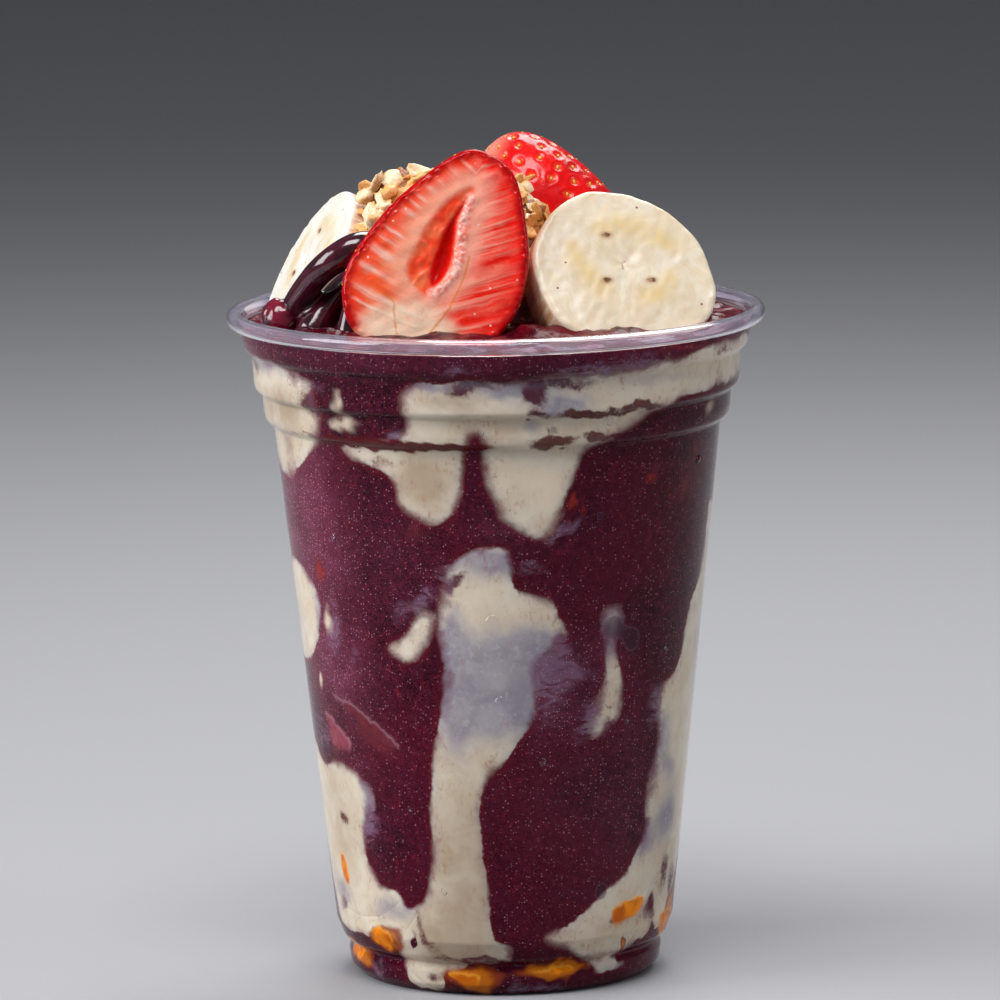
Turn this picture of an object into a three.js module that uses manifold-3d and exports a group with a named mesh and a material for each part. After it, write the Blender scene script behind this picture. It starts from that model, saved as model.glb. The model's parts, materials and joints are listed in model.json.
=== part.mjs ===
// Acai cup: a tall clear plastic cup filled with acai puree and streaks of cream, with fruit at the wall
// and strawberry, banana, granola and a glossy dollop on top. Millimetres, +Z up. The origin is the centre
// of the foot ring that the cup stands on, -Y is the front, and wall places are given as [angle, height]:
// the angle in degrees from the front, positive to the right, and the height above the table.
import * as THREE from "three";
import { mergeVertices } from "three/addons/utils/BufferGeometryUtils.js";
import Module from "manifold-3d";

const wasm = await Module();
wasm.setup();

const DEGREE = Math.PI / 180;

// ---- Driving dimensions: cup ----
const CUP_SIDES = 24; // facets round the cup and what fills it
const CORE_SIDES = 16; // facets round the plain cone that backs the wall pieces
const FRUIT_SIDES = 20; // facets round a strawberry or a banana slice
const WALL = 0.6; // thickness of the formed plastic
const GAP = 0.3; // clearance between pieces that touch in use
const FOOT_RADIUS = 26.5; // outer edge of the flat ring that the cup stands on
const RECESS_RADIUS = 21.5; // the raised floor inside the foot ring
const RECESS_HEIGHT = 2.0;
const SHOULDER_HEIGHT = 10.3; // top of the rounded shoulder, where the straight taper starts
const SHOULDER_RADIUS = 30.8;
const TAPER_HEIGHT = 101.2; // top of the straight taper, where the stepped bands start
const TAPER_RADIUS = 40.6;
const BANDS = [
  // bulging bands under the rim, each a step wider than the one below
  { bottom: 101.8, top: 107.1, radius: 42.5 },
  { bottom: 107.5, top: 114.4, radius: 44.3 },
  { bottom: 114.8, top: 119.2, radius: 46.4 },
];
const BAND_LIP = 1.4; // how far a band's lower edge curves in to the groove below it
const RIM_RADIUS = 47.5; // centre circle of the rolled rim
const RIM_HEIGHT = 120.8;
const RIM_ROLL = 1.5; // radius of the roll

// ---- Driving dimensions: contents ----
const FILL_LEVEL = 119.3; // puree surface at the wall
const STREAK_DEPTH = 2.6; // how far a cream streak reaches in from the wall
const MANGO_DEPTH = 6.5;
const SLICE_DEPTH = 3.4;
const WEDGE_RADII = [1, 25, 50, 200]; // a wall cutter runs from near the axis to beyond every wall
const CHUNK_OVERRUN = 6; // how far a chunk's block runs on past the wall before it is cut to fit
const PUREE_MOUND = { at: [-3, 9, FILL_LEVEL - 1], size: [25, 23, 9.5] }; // under the toppings

// ---- Driving dimensions: toppings ----
const STRAWBERRY_FRONT = { length: 39.6, width: 32.2, depth: 12.5, widest: 0.36, taper: 1.85 };
const STRAWBERRY_FRONT_PLACE = placed(-13.9, -27.6, 115.5, 4, 14, 15);
const STRAWBERRY_BACK = { length: 33, width: 24, depth: 11, widest: 0.3, taper: 1.7 };
const STRAWBERRY_BACK_PLACE = placed(-4.5, 16, 144, 184, -22, -116);
const STALK_DISH = 0.04; // how far the stalk end dips in, as a part of the length
const SHOULDER_POWER = 3.2; // roundness of the fruit below its widest place
const FLANK_POWER = 0.72; // roundness of the fruit towards its tip
const BANANA_FRONT = { radius: 16.8, thickness: 10, oval: 0.96 };
const BANANA_FRONT_PLACE = placed(23, -18, 131.2, 14, 34, 0);
const BANANA_LEFT = { radius: 15.2, thickness: 9, oval: 0.98 };
const BANANA_LEFT_PLACE = placed(-34.4, 9, 129.8, -76, 31, 0);
const BANANA_EASE = 0.9; // eased edge of a slice
const BANANA_BELLY = 1.015; // a slice is this much wider halfway through
const BANANA_FIVE_SIDED = { swell: 0.018, turn: 0.6 };
const HEAP_MOUNDS = [
  { at: [-3, 7, 124], size: [22, 18, 22.5] },
  { at: [-16, 4, 134], size: [10.5, 11, 14] },
];
const HEAP_LUMPS = { broad: 0.06, fine: 0.04 }; // unevenness of the heap, as parts of its size
const DOLLOP_LOBES = [
  {
    radius: 2.9,
    path: [
      [-20, -13, 135.5], [-25, -17.5, 135.8], [-30, -20.5, 131.8], [-34, -21.8, 126], [-36.2, -22, 119.8],
    ],
  },
  {
    radius: 2.3,
    path: [[-24.5, -18, 134.5], [-27.3, -21, 129.5], [-28.9, -22.5, 124.5], [-29.4, -23, 119.5]],
  },
];
const BERRY_RADIUS = 3.9;
const BERRY_PLACE = [-38.6, -10, 121.6];

// ---- Finishes ----
const FINISHES = {
  clear_plastic: { color: 0xe9edf2, roughness: 0.08, metalness: 0, transparent: true, opacity: 0.35 },
  acai: { color: 0x3c0f24, roughness: 0.35, metalness: 0 },
  cream: { color: 0xe9dfc4, roughness: 0.4, metalness: 0 },
  strawberry: { color: 0xd2281c, roughness: 0.3, metalness: 0 },
  banana: { color: 0xf0e3bd, roughness: 0.45, metalness: 0 },
  granola: { color: 0xb9854b, roughness: 0.7, metalness: 0 },
  berry: { color: 0x3a0a18, roughness: 0.15, metalness: 0 },
  mango: { color: 0xe8932a, roughness: 0.4, metalness: 0 },
};

const cupOfAcai = new THREE.Group();

// ---- Solids ----

/** Volume inside a triangle mesh, negative when it is inside out. */
function signedVolume(positions, indices) {
  const a = new THREE.Vector3();
  const b = new THREE.Vector3();
  const c = new THREE.Vector3();
  let sixfold = 0;
  for (let i = 0; i < indices.length; i += 3) {
    a.fromArray(positions, indices[i] * 3);
    b.fromArray(positions, indices[i + 1] * 3);
    c.fromArray(positions, indices[i + 2] * 3);
    sixfold += a.dot(b.cross(c));
  }
  return sixfold / 6;
}

/** A closed three.js geometry as a manifold solid, its faces turned outwards. */
function toSolid(geometry) {
  const bare = geometry.clone();
  for (const name of Object.keys(bare.attributes)) {
    if (name !== "position") {
      bare.deleteAttribute(name);
    }
  }
  const merged = mergeVertices(bare, 1e-4);
  const vertProperties = new Float32Array(merged.attributes.position.array);
  const corners = Array.from(merged.index.array);
  const kept = [];
  for (let i = 0; i < corners.length; i += 3) {
    const [a, b, c] = corners.slice(i, i + 3);
    if (a !== b && b !== c && c !== a) {
      kept.push(a, b, c);
    }
  }
  if (signedVolume(vertProperties, kept) < 0) {
    kept.reverse();
  }
  const mesh = new wasm.Mesh({ numProp: 3, vertProperties, triVerts: new Uint32Array(kept) });
  mesh.merge();
  return new wasm.Manifold(mesh);
}

/** A manifold solid as a three.js geometry. */
function toGeometry(solid) {
  const mesh = solid.getMesh();
  const geometry = new THREE.BufferGeometry();
  geometry.setAttribute("position", new THREE.BufferAttribute(new Float32Array(mesh.vertProperties), 3));
  geometry.setIndex(new THREE.BufferAttribute(new Uint32Array(mesh.triVerts), 1));
  geometry.computeVertexNormals();
  return geometry;
}

/** The solid pushed out by a clearance along its vertex normals, used to cut its neighbours. */
function grown(solid, clearance) {
  const geometry = toGeometry(solid);
  const place = geometry.attributes.position;
  const normal = geometry.attributes.normal;
  for (let i = 0; i < place.count; i += 1) {
    place.setXYZ(
      i,
      place.getX(i) + normal.getX(i) * clearance,
      place.getY(i) + normal.getY(i) * clearance,
      place.getZ(i) + normal.getZ(i) * clearance,
    );
  }
  return toSolid(geometry);
}

/** The largest connected body of a cut solid: crumbs that a cut leaves loose are dropped. */
function mainBody(solid) {
  return solid.decompose().reduce((best, part) => (part.volume() > best.volume() ? part : best));
}

/** A turned solid about +Z from [radius, height] points that start and end on the axis. */
function turned(profile, sides = CUP_SIDES) {
  const points = profile.map(([radius, height]) => new THREE.Vector2(radius, height));
  return toSolid(new THREE.LatheGeometry(points, sides).rotateX(Math.PI / 2));
}

/** Adds one named piece to the model. */
function addPiece(name, solid, finish, placement) {
  const material = new THREE.MeshStandardMaterial(FINISHES[finish]);
  const mesh = new THREE.Mesh(toGeometry(solid), material);
  mesh.name = name;
  if (placement) {
    mesh.position.copy(placement.position);
    mesh.rotation.copy(placement.rotation);
  }
  cupOfAcai.add(mesh);
  return mesh;
}

/** Where a topping stands: its place, and its turn, backward tilt and sideways lean in degrees. */
function placed(x, y, z, turn, tilt, lean) {
  const rotation = new THREE.Euler(-tilt * DEGREE, lean * DEGREE, turn * DEGREE, "ZXY");
  return { position: new THREE.Vector3(x, y, z), rotation };
}

/** A solid moved from its own frame to where it stands. */
function moved(solid, placement) {
  const turn = new THREE.Quaternion().setFromEuler(placement.rotation);
  const matrix = new THREE.Matrix4().compose(placement.position, turn, new THREE.Vector3(1, 1, 1));
  return toSolid(toGeometry(solid).applyMatrix4(matrix));
}

// ---- Cup ----

/** Outer wall of the cup as [radius, height] points, from the foot ring up to the rolled rim. */
function outerWall(bulge = true) {
  const points = [
    [FOOT_RADIUS, 0],
    [FOOT_RADIUS + 1.8, 2.0],
    [FOOT_RADIUS + 2.1, 4.5],
    [FOOT_RADIUS + 1.7, 5.9],
    [SHOULDER_RADIUS - 1.2, 7.2],
    [SHOULDER_RADIUS, SHOULDER_HEIGHT],
    [TAPER_RADIUS, TAPER_HEIGHT],
  ];
  for (const band of BANDS) {
    points.push([band.radius - BAND_LIP, band.bottom]);
    if (bulge) {
      points.push([band.radius - 0.2, band.bottom + 1.7]);
    }
    points.push([band.radius + 0.1, band.top]);
  }
  return points;
}

/** The wall moved in by a distance, floor and recess included, up to a level: [radius, height] points. */
function innerWall(inset, level) {
  const points = [
    [0, RECESS_HEIGHT + inset],
    [RECESS_RADIUS + 0.3, RECESS_HEIGHT + inset],
    [RECESS_RADIUS + 1.6, inset],
    [FOOT_RADIUS - inset * 0.4, inset],
  ];
  for (const [radius, height] of outerWall(false).slice(1)) {
    if (height < level - 0.4) {
      points.push([radius - inset, height + inset * 0.15]);
    }
  }
  points.push([BANDS[2].radius - inset, level]);
  return points;
}

/** The cup: foot ring, shoulder, taper and bands, closed over the rolled rim and down the inside. */
function buildCup() {
  const outside = [
    [0, RECESS_HEIGHT],
    [RECESS_RADIUS, RECESS_HEIGHT],
    [RECESS_RADIUS + 1.3, 0],
    ...outerWall(),
  ];
  const roll = [];
  const rollSteps = 6;
  for (let i = 0; i <= rollSteps; i += 1) {
    const angle = (-110 + (i * 250) / rollSteps) * DEGREE;
    roll.push([RIM_RADIUS + RIM_ROLL * Math.cos(angle), RIM_HEIGHT + RIM_ROLL * Math.sin(angle)]);
  }
  const inside = innerWall(WALL, 119.6).reverse();
  return turned([...outside, ...roll, ...inside]);
}

// ---- Wall pieces: streaks and fruit that lie against the inside of the cup ----

/** A smooth closed outline through the given wall points, pushed out by a clearance in millimetres. */
function wallOutline(points, samples, clearance) {
  const corners = points.map(([angle, height]) => new THREE.Vector3(angle, height, 0));
  const curve = new THREE.CatmullRomCurve3(corners, true, "centripetal");
  const round = curve.getPoints(samples).slice(0, samples);
  const perDegree = 36 * DEGREE; // millimetres of wall per degree at mid height
  const area = THREE.ShapeUtils.area(round);
  const side = area > 0 ? 1 : -1;
  return round.map((point, i) => {
    const before = round[(i + samples - 1) % samples];
    const after = round[(i + 1) % samples];
    const along = new THREE.Vector2((after.x - before.x) * perDegree, after.y - before.y).normalize();
    const outX = (along.y * side * clearance) / perDegree;
    const outY = -along.x * side * clearance;
    return new THREE.Vector2(point.x + outX, point.y + outY);
  });
}

/** A wedge that runs out from near the axis through a wall outline: an extrusion wrapped round the axis. */
function wallWedge(points, samples, clearance = 0) {
  const shape = new THREE.Shape(wallOutline(points, samples, clearance));
  const steps = WEDGE_RADII.length - 1;
  const geometry = new THREE.ExtrudeGeometry(shape, { depth: steps, steps, bevelEnabled: false });
  const place = geometry.attributes.position;
  for (let i = 0; i < place.count; i += 1) {
    const angle = place.getX(i) * DEGREE;
    const radius = WEDGE_RADII[Math.round(place.getZ(i))];
    place.setXYZ(i, radius * Math.sin(angle), -radius * Math.cos(angle), place.getY(i));
  }
  return toSolid(geometry);
}

/** The puree's own body before anything is cut from it: the inside of the cup with a mound on top. */
function fillBlank() {
  const body = turned([...innerWall(WALL + GAP, FILL_LEVEL), [0, FILL_LEVEL]]);
  const mound = new THREE.SphereGeometry(1, 16, 8).scale(...PUREE_MOUND.size).translate(...PUREE_MOUND.at);
  return body.add(toSolid(mound));
}

/** A plain cone that backs the wall pieces: all that lies deeper than a distance from the wall. */
function fillCore(depth) {
  const inset = WALL + GAP + depth;
  return turned(
    [
      [0, -1],
      [FOOT_RADIUS - inset, -1],
      [SHOULDER_RADIUS - inset, SHOULDER_HEIGHT],
      [TAPER_RADIUS - inset, TAPER_HEIGHT],
      [RIM_RADIUS - 1 - inset, FILL_LEVEL + 20],
      [0, FILL_LEVEL + 20],
    ],
    CORE_SIDES,
  );
}

// Wall outlines, [angle, height]. The unseen back half carries the same kinds of streak as the front.
const STREAKS = {
  cream_collar_front: [
    [-21, 112.5], [-10, 114.2], [10, 114.2], [38, 115.5], [62, 117.6], [86, 116.5], [98, 113],
    [84, 110.5], [62, 109.6], [45, 108.2], [31, 103.5], [22.5, 101], [18.5, 94.5], [12, 85.8],
    [4, 87.6], [-2.5, 95], [-3.8, 104], [-7.2, 104], [-9.4, 99], [-12, 90.3], [-19, 88.4], [-25.5, 90.5],
    [-30, 96.8], [-39, 98.6], [-44, 101.2], [-36, 102.4], [-23, 104],
  ],
  cream_collar_left: [
    [-49, 111.5], [-64, 114.8], [-88, 114.5], [-112, 112], [-108, 103], [-92, 96], [-78, 93.5],
    [-68, 94.5], [-59, 98], [-50, 103.5],
  ],
  cream_collar_back: [
    [122, 112], [150, 114.5], [178, 114], [206, 113], [228, 109], [216, 103], [203, 99], [196, 88],
    [187, 84], [180, 92], [174, 102], [160, 103], [150, 96], [142, 91], [134, 98], [124, 104],
  ],
  cream_river: [
    [-5, 83.6], [-12, 81.2], [-14.5, 77.5], [-17.3, 70], [-15.8, 61], [-19, 50.5], [-21.5, 43.5],
    [-22.8, 33.5], [-23.5, 25], [-28, 17.2], [-38, 9.5], [-39, 5.5], [-30, 1.8], [-22, 2.4],
    [-14, 6.2], [-4, 7.0], [-5, 12.5], [-5.4, 21], [-7.4, 31], [-6, 39.5], [2, 45.5], [9.5, 54],
    [10, 62], [18, 67.5], [14, 73.4], [4, 76], [2, 82.8],
  ],
  cream_right: [
    [80, 87], [96, 80], [98, 62], [92, 44], [86, 24], [72, 14], [58, 18.5], [49, 10], [38, 6.4],
    [28, 7.2], [14, 10.8], [21, 13], [35, 18.3], [47, 23.5], [52, 29], [51.5, 35], [55.5, 45],
    [54, 54], [63, 58.5], [69, 69], [76, 75],
  ],
  cream_left_high: [[-62, 72], [-72, 77], [-88, 77], [-104, 72], [-98, 62], [-80, 59], [-66, 63]],
  cream_left_low: [
    [-45.5, 36.5], [-56, 41], [-72, 40.5], [-90, 45], [-98, 38], [-88, 27], [-80, 16], [-66, 13.8],
    [-54, 13.6], [-44, 15], [-37.5, 18], [-45, 20], [-51, 25], [-49, 31.5],
  ],
  cream_blob: [[-33.5, 64.5], [-27, 67.5], [-22.6, 71.4], [-19.6, 70.4], [-21.5, 65.6], [-27.5, 62.6]],
  cream_comma: [
    [30.2, 70.6], [35.4, 69.4], [35, 64.6], [37, 57.5], [36, 51.5], [29.5, 48.6], [27.4, 51], [31.2, 57],
    [31.6, 63],
  ],
  cream_back_river: [
    [176, 79], [168, 74], [166, 62], [160, 50], [157, 36], [150, 22], [138, 11], [146, 7], [166, 8],
    [180, 12], [176, 26], [179, 40], [188, 52], [190, 64], [186, 74],
  ],
  cream_back_bend: [
    [236, 84], [226, 76], [222, 60], [214, 44], [212, 28], [204, 16], [210, 11], [226, 13], [232, 26],
    [230, 42], [240, 56], [246, 70],
  ],
};

// Chunks of mango against the wall: [angle, height, width, tall, spin], the spin about the radius in degrees.
const MANGO = [
  [45.5, 14.2, 13, 5.6, 12],
  [75, 9.2, 12, 7.4, -10],
  [-65.5, 21.2, 5.0, 8.2, 14],
  [-47, 9.6, 9, 5.4, -8],
  [18, 4.4, 11.5, 3.2, 2],
  [-15, 3.4, 9.5, 4.0, -6],
  [-72, 5.2, 11, 5.2, 8],
  [112, 12, 12, 8, 14],
  [196, 8.5, 12, 7.5, -12],
  [243, 7.5, 11, 7, 9],
];

const SUNK_SLICES = {
  strawberry_sunk_long: [[-61, 54.4], [-50, 53.6], [-38, 49.8], [-31.5, 46], [-38, 46.3], [-50, 49.8]],
  strawberry_sunk_short: [[-66, 51], [-59.5, 49.2], [-52.6, 46.4], [-53.5, 43.2], [-62, 43.6], [-66.5, 46.8]],
};

/** A chunk of mango: a block set into the wall. */
function mangoChunk([angle, height, width, tall, spin], clearance = 0) {
  const reach = MANGO_DEPTH + CHUNK_OVERRUN;
  const box = new THREE.BoxGeometry(width + 2 * clearance, reach + 2 * clearance, tall + 2 * clearance);
  box.rotateY(spin * DEGREE);
  box.translate(0, -(SHOULDER_RADIUS - MANGO_DEPTH + reach / 2), height);
  box.rotateZ(angle * DEGREE);
  return toSolid(box);
}

// ---- Toppings, each in its own frame ----

/** Half a strawberry: +Z from the stalk end to the tip, the cut face flat at y = 0 and facing -Y. */
function halfStrawberry({ length, width, depth, widest, taper }) {
  const steps = 9;
  const profile = [[0, STALK_DISH * length]];
  for (let i = 1; i <= steps; i += 1) {
    const t = i / steps;
    const below = Math.min(1, (widest - t) / widest);
    const above = (t - widest) / (1 - widest);
    const radius = t < widest ? Math.sqrt(1 - below ** SHOULDER_POWER) : (1 - above ** taper) ** FLANK_POWER;
    profile.push([i === steps ? 0 : (radius * width) / 2, t * length]);
  }
  const whole = turned(profile, FRUIT_SIDES);
  const squashed = toSolid(toGeometry(whole).scale(1, (2 * depth) / width, 1));
  const front = new THREE.BoxGeometry(3 * width, 2 * width, 3 * length).translate(0, -width, 0);
  return squashed.subtract(toSolid(front));
}

/** A slice of banana: a slightly five-sided disc with eased edges, its cut face at y = 0 facing -Y. */
function bananaSlice({ radius, thickness, oval }) {
  const profile = [
    [0, 0],
    [radius - BANANA_EASE, 0],
    [radius, BANANA_EASE],
    [radius * BANANA_BELLY, thickness / 2],
    [radius, thickness - BANANA_EASE],
    [radius - BANANA_EASE, thickness],
    [0, thickness],
  ];
  const points = profile.map(([r, y]) => new THREE.Vector2(r, y));
  const geometry = new THREE.LatheGeometry(points, FRUIT_SIDES);
  const place = geometry.attributes.position;
  for (let i = 0; i < place.count; i += 1) {
    const around = Math.atan2(place.getZ(i), place.getX(i));
    const side = 1 + BANANA_FIVE_SIDED.swell * Math.cos(5 * around + BANANA_FIVE_SIDED.turn);
    place.setX(i, place.getX(i) * side);
    place.setZ(i, place.getZ(i) * side * oval);
  }
  return toSolid(geometry);
}

/** A round bar along a curve: the lobes of the dollop. */
function lobe(points, radius) {
  const curve = new THREE.CatmullRomCurve3(points.map((p) => new THREE.Vector3(...p)));
  const ring = new THREE.Shape();
  ring.absellipse(0, 0, radius, radius, 0, Math.PI * 2);
  const tube = new THREE.ExtrudeGeometry(ring, {
    curveSegments: 4,
    steps: 7,
    bevelEnabled: false,
    extrudePath: curve,
  });
  return toSolid(tube);
}

/** The granola heap out to its uneven outline: two lumpy mounds run together. */
function granolaHeap() {
  let heap = null;
  for (const { at, size } of HEAP_MOUNDS) {
    const geometry = new THREE.SphereGeometry(1, 16, 9).rotateX(Math.PI / 2);
    const place = geometry.attributes.position;
    for (let i = 0; i < place.count; i += 1) {
      const x = place.getX(i);
      const y = place.getY(i);
      const z = place.getZ(i);
      const broad = HEAP_LUMPS.broad * Math.sin(7 * x + 2) * Math.cos(6 * y - 1);
      const lump = 1 + broad + HEAP_LUMPS.fine * Math.sin(9 * z + 4 * x);
      place.setXYZ(i, x * lump, y * lump, z * lump);
    }
    const mound = toSolid(geometry.scale(...size).translate(...at));
    heap = heap ? heap.add(mound) : mound;
  }
  return heap;
}

const toppings = {
  strawberry_front: moved(halfStrawberry(STRAWBERRY_FRONT), STRAWBERRY_FRONT_PLACE),
  strawberry_back: moved(halfStrawberry(STRAWBERRY_BACK), STRAWBERRY_BACK_PLACE),
  banana_front: moved(bananaSlice(BANANA_FRONT), BANANA_FRONT_PLACE),
  banana_left: moved(bananaSlice(BANANA_LEFT), BANANA_LEFT_PLACE),
};

const [outerLobe, innerLobe] = DOLLOP_LOBES.map(({ path, radius }) => lobe(path, radius));
const dollop = outerLobe.add(innerLobe);
const berryBall = new THREE.SphereGeometry(BERRY_RADIUS, 12, 8).rotateX(Math.PI / 2);
const berry = toSolid(berryBall.translate(...BERRY_PLACE));

// ---- Putting it together ----
const fill = fillBlank();
const core = fillCore(STREAK_DEPTH);
const deepCore = fillCore(STREAK_DEPTH + GAP);
const chunks = MANGO.map((chunk) => mangoChunk(chunk).intersect(fill));
const chunkCuts = MANGO.map((chunk) => mangoChunk(chunk, GAP + 0.05));

addPiece("cup", buildCup(), "clear_plastic");

let puree = fill;
for (const [name, outline] of Object.entries(STREAKS)) {
  const samples = outline.length;
  let streak = wallWedge(outline, samples).intersect(fill).subtract(core);
  for (const cut of chunkCuts) {
    streak = streak.subtract(cut);
  }
  addPiece(name, mainBody(streak), "cream");
  puree = puree.subtract(wallWedge(outline, samples, GAP + 0.05).subtract(deepCore));
}
for (const cut of chunkCuts) {
  puree = puree.subtract(cut);
}
chunks.forEach((chunk, i) => addPiece(`mango_${i + 1}`, chunk, "mango"));

const sliceCore = fillCore(SLICE_DEPTH);
const deepSliceCore = fillCore(SLICE_DEPTH + GAP);
for (const [name, outline] of Object.entries(SUNK_SLICES)) {
  const samples = outline.length + 2;
  addPiece(name, wallWedge(outline, samples).intersect(fill).subtract(sliceCore), "strawberry");
  puree = puree.subtract(wallWedge(outline, samples, GAP + 0.05).subtract(deepSliceCore));
}

let heap = granolaHeap().subtract(grown(fill, GAP));
for (const solid of Object.values(toppings)) {
  heap = heap.subtract(grown(solid, GAP));
  puree = puree.subtract(grown(solid, GAP));
}
heap = heap.subtract(grown(dollop, GAP));
const dollopClear = dollop
  .subtract(grown(toppings.strawberry_front, GAP))
  .subtract(grown(toppings.banana_left, GAP));
puree = puree.subtract(grown(dollop, GAP)).subtract(grown(berry, GAP));

addPiece("acai", mainBody(puree), "acai");
addPiece("granola_heap", mainBody(heap), "granola");
addPiece("acai_dollop", mainBody(dollopClear), "acai");
addPiece("berry", berry, "berry");
addPiece("strawberry_front", halfStrawberry(STRAWBERRY_FRONT), "strawberry", STRAWBERRY_FRONT_PLACE);
addPiece("strawberry_back", halfStrawberry(STRAWBERRY_BACK), "strawberry", STRAWBERRY_BACK_PLACE);
addPiece("banana_front", bananaSlice(BANANA_FRONT), "banana", BANANA_FRONT_PLACE);
addPiece("banana_left", bananaSlice(BANANA_LEFT), "banana", BANANA_LEFT_PLACE);

export default cupOfAcai;
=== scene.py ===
"""A tall clear cup of acai puree streaked with cream, topped with fruit and granola.

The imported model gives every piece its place. Sizes here are millimetres, and a place on the
wall is an angle in degrees from the front (turning to the right) and a height in millimetres.
"""

import json
import logging
import math
from dataclasses import dataclass, field
from enum import Enum
from functools import cache

import bpy
import numpy as np
from mathutils import Euler, Matrix, Vector
from mathutils.geometry import delaunay_2d_cdt

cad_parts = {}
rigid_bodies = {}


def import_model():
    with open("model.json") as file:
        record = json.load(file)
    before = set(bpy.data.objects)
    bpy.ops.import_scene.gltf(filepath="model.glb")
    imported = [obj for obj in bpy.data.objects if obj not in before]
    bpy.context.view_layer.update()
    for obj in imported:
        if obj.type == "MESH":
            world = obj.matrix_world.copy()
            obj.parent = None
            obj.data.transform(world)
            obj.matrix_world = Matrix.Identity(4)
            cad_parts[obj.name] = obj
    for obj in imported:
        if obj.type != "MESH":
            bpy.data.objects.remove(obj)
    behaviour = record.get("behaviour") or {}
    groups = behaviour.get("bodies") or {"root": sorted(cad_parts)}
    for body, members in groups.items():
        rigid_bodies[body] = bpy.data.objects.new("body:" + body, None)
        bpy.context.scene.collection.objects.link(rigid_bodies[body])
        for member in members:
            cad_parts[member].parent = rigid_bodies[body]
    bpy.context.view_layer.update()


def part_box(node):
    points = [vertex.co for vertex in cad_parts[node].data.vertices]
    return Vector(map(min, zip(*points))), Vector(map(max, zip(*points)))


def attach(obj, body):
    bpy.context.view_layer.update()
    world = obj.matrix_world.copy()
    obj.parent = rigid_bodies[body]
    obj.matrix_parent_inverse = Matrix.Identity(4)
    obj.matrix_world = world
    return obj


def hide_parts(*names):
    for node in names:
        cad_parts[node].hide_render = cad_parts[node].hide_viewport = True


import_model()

log = logging.getLogger("acai_cup")

MM = 0.001  # metres in a millimetre; every size below is in millimetres unless it says metres
BODY = "root"
TOP_GAP = 0.05  # how far a turned piece stays below the top of its node's box

Array = np.ndarray
Colour = tuple[float, float, float, float]
Pair = tuple[float, float]
Triple = tuple[float, float, float]
Material = bpy.types.Material
Mesh = bpy.types.Mesh
Socket = bpy.types.NodeSocket


# ---- numbers and curves


def shade(red: int, green: int, blue: int) -> Colour:
    """Returns a display colour of 0 to 255 as the linear colour a shader takes."""

    def linear(level: int) -> float:
        """Returns one channel, made linear."""
        part = level / 255
        return part / 12.92 if part <= 0.04045 else ((part + 0.055) / 1.055) ** 2.4

    return (linear(red), linear(green), linear(blue), 1.0)


def smooth(low: float, high: float, value: Array) -> Array:
    """Returns an even S-shaped rise from 0 at low to 1 at high; low may be the larger."""
    part = np.clip((value - low) / (high - low), 0, 1)
    return part * part * (3 - 2 * part)


def ripple(points: Array, size: float, seed: int, waves: int = 12) -> Array:
    """Makes a smooth random field.

    Args:
        points: Places, one row each, of two or three numbers.
        size: Distance from crest to crest, in the same unit.
        seed: Which field to draw.
        waves: How many plane waves are added.

    Returns:
        One value for each point, mostly between -1.5 and 1.5.
    """
    draw = np.random.default_rng(seed)
    heading = draw.normal(size=(waves, points.shape[1]))
    heading /= np.linalg.norm(heading, axis=1, keepdims=True)
    pace = 2 * math.pi / size * draw.uniform(0.6, 1.5, waves)
    phase = draw.uniform(0, 2 * math.pi, waves)
    total = np.zeros(len(points))
    for direction, start in zip(heading * pace[:, None], phase):
        total += np.sin(points @ direction + start)
    return total / math.sqrt(waves / 2)


def flowing_line(points: list, steps: int, closed: bool = True) -> Array:
    """Draws a Catmull-Rom curve through a few points.

    Args:
        points: The points to pass through.
        steps: Points made for each given one.
        closed: Whether the curve returns to its start.

    Returns:
        The points of the curve, one row each.
    """
    given = np.array(points, float)
    if not closed:
        given = np.vstack([2 * given[0] - given[1], given, 2 * given[-1] - given[-2]])
    count = len(given)
    spans = range(count) if closed else range(1, count - 2)
    along = np.linspace(0, 1, steps, endpoint=False)[:, None]
    pieces = []
    for k in spans:
        a, b, c, d = (given[(k + shift) % count] for shift in (-1, 0, 1, 2))
        pieces.append(
            0.5
            * (
                2 * b
                + (c - a) * along
                + (2 * a - 5 * b + 4 * c - d) * along**2
                + (3 * b - a - 3 * c + d) * along**3
            )
        )
    if not closed:
        pieces.append(given[-2][None])
    return np.vstack(pieces)


def squared_gap(points: Array, start: Array, end: Array) -> Array:
    """Measures how far points of a plane lie from a straight stretch.

    Args:
        points: Places in the plane, one row each.
        start: One end of the stretch.
        end: Its other end.

    Returns:
        The square of each distance.
    """
    run = end - start
    part = np.clip((points - start) @ run / max(run @ run, 1e-12), 0, 1)
    gap = points - start - part[:, None] * run
    return np.einsum("ij,ij->i", gap, gap)


def outline_distance(points: Array, outline: Array) -> Array:
    """Measures how far points lie from a closed outline.

    Args:
        points: Places in the plane, one row each.
        outline: The outline's corners in order.

    Returns:
        Distances, negative inside the outline.
    """
    nearest = np.full(len(points), np.inf)
    inside = np.zeros(len(points), bool)
    ends = np.roll(outline, -1, axis=0)
    for start, end in zip(outline, ends):
        nearest = np.minimum(nearest, squared_gap(points, start, end))
        run = end - start
        spans = (start[1] > points[:, 1]) != (end[1] > points[:, 1])
        if spans.any():
            cross = start[0] + (points[:, 1] - start[1]) * run[0] / (run[1] or 1e-12)
            inside ^= spans & (points[:, 0] < cross)
    return np.sqrt(nearest) * np.where(inside, -1, 1)


def line_distance(points: Array, line: Array) -> Array:
    """Measures how far points of a plane lie from an open line.

    Args:
        points: Places in the plane, one row each.
        line: The line's corners in order.

    Returns:
        One distance for each point.
    """
    nearest = np.full(len(points), np.inf)
    for start, end in zip(line[:-1], line[1:]):
        nearest = np.minimum(nearest, squared_gap(points, start, end))
    return np.sqrt(nearest)


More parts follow.
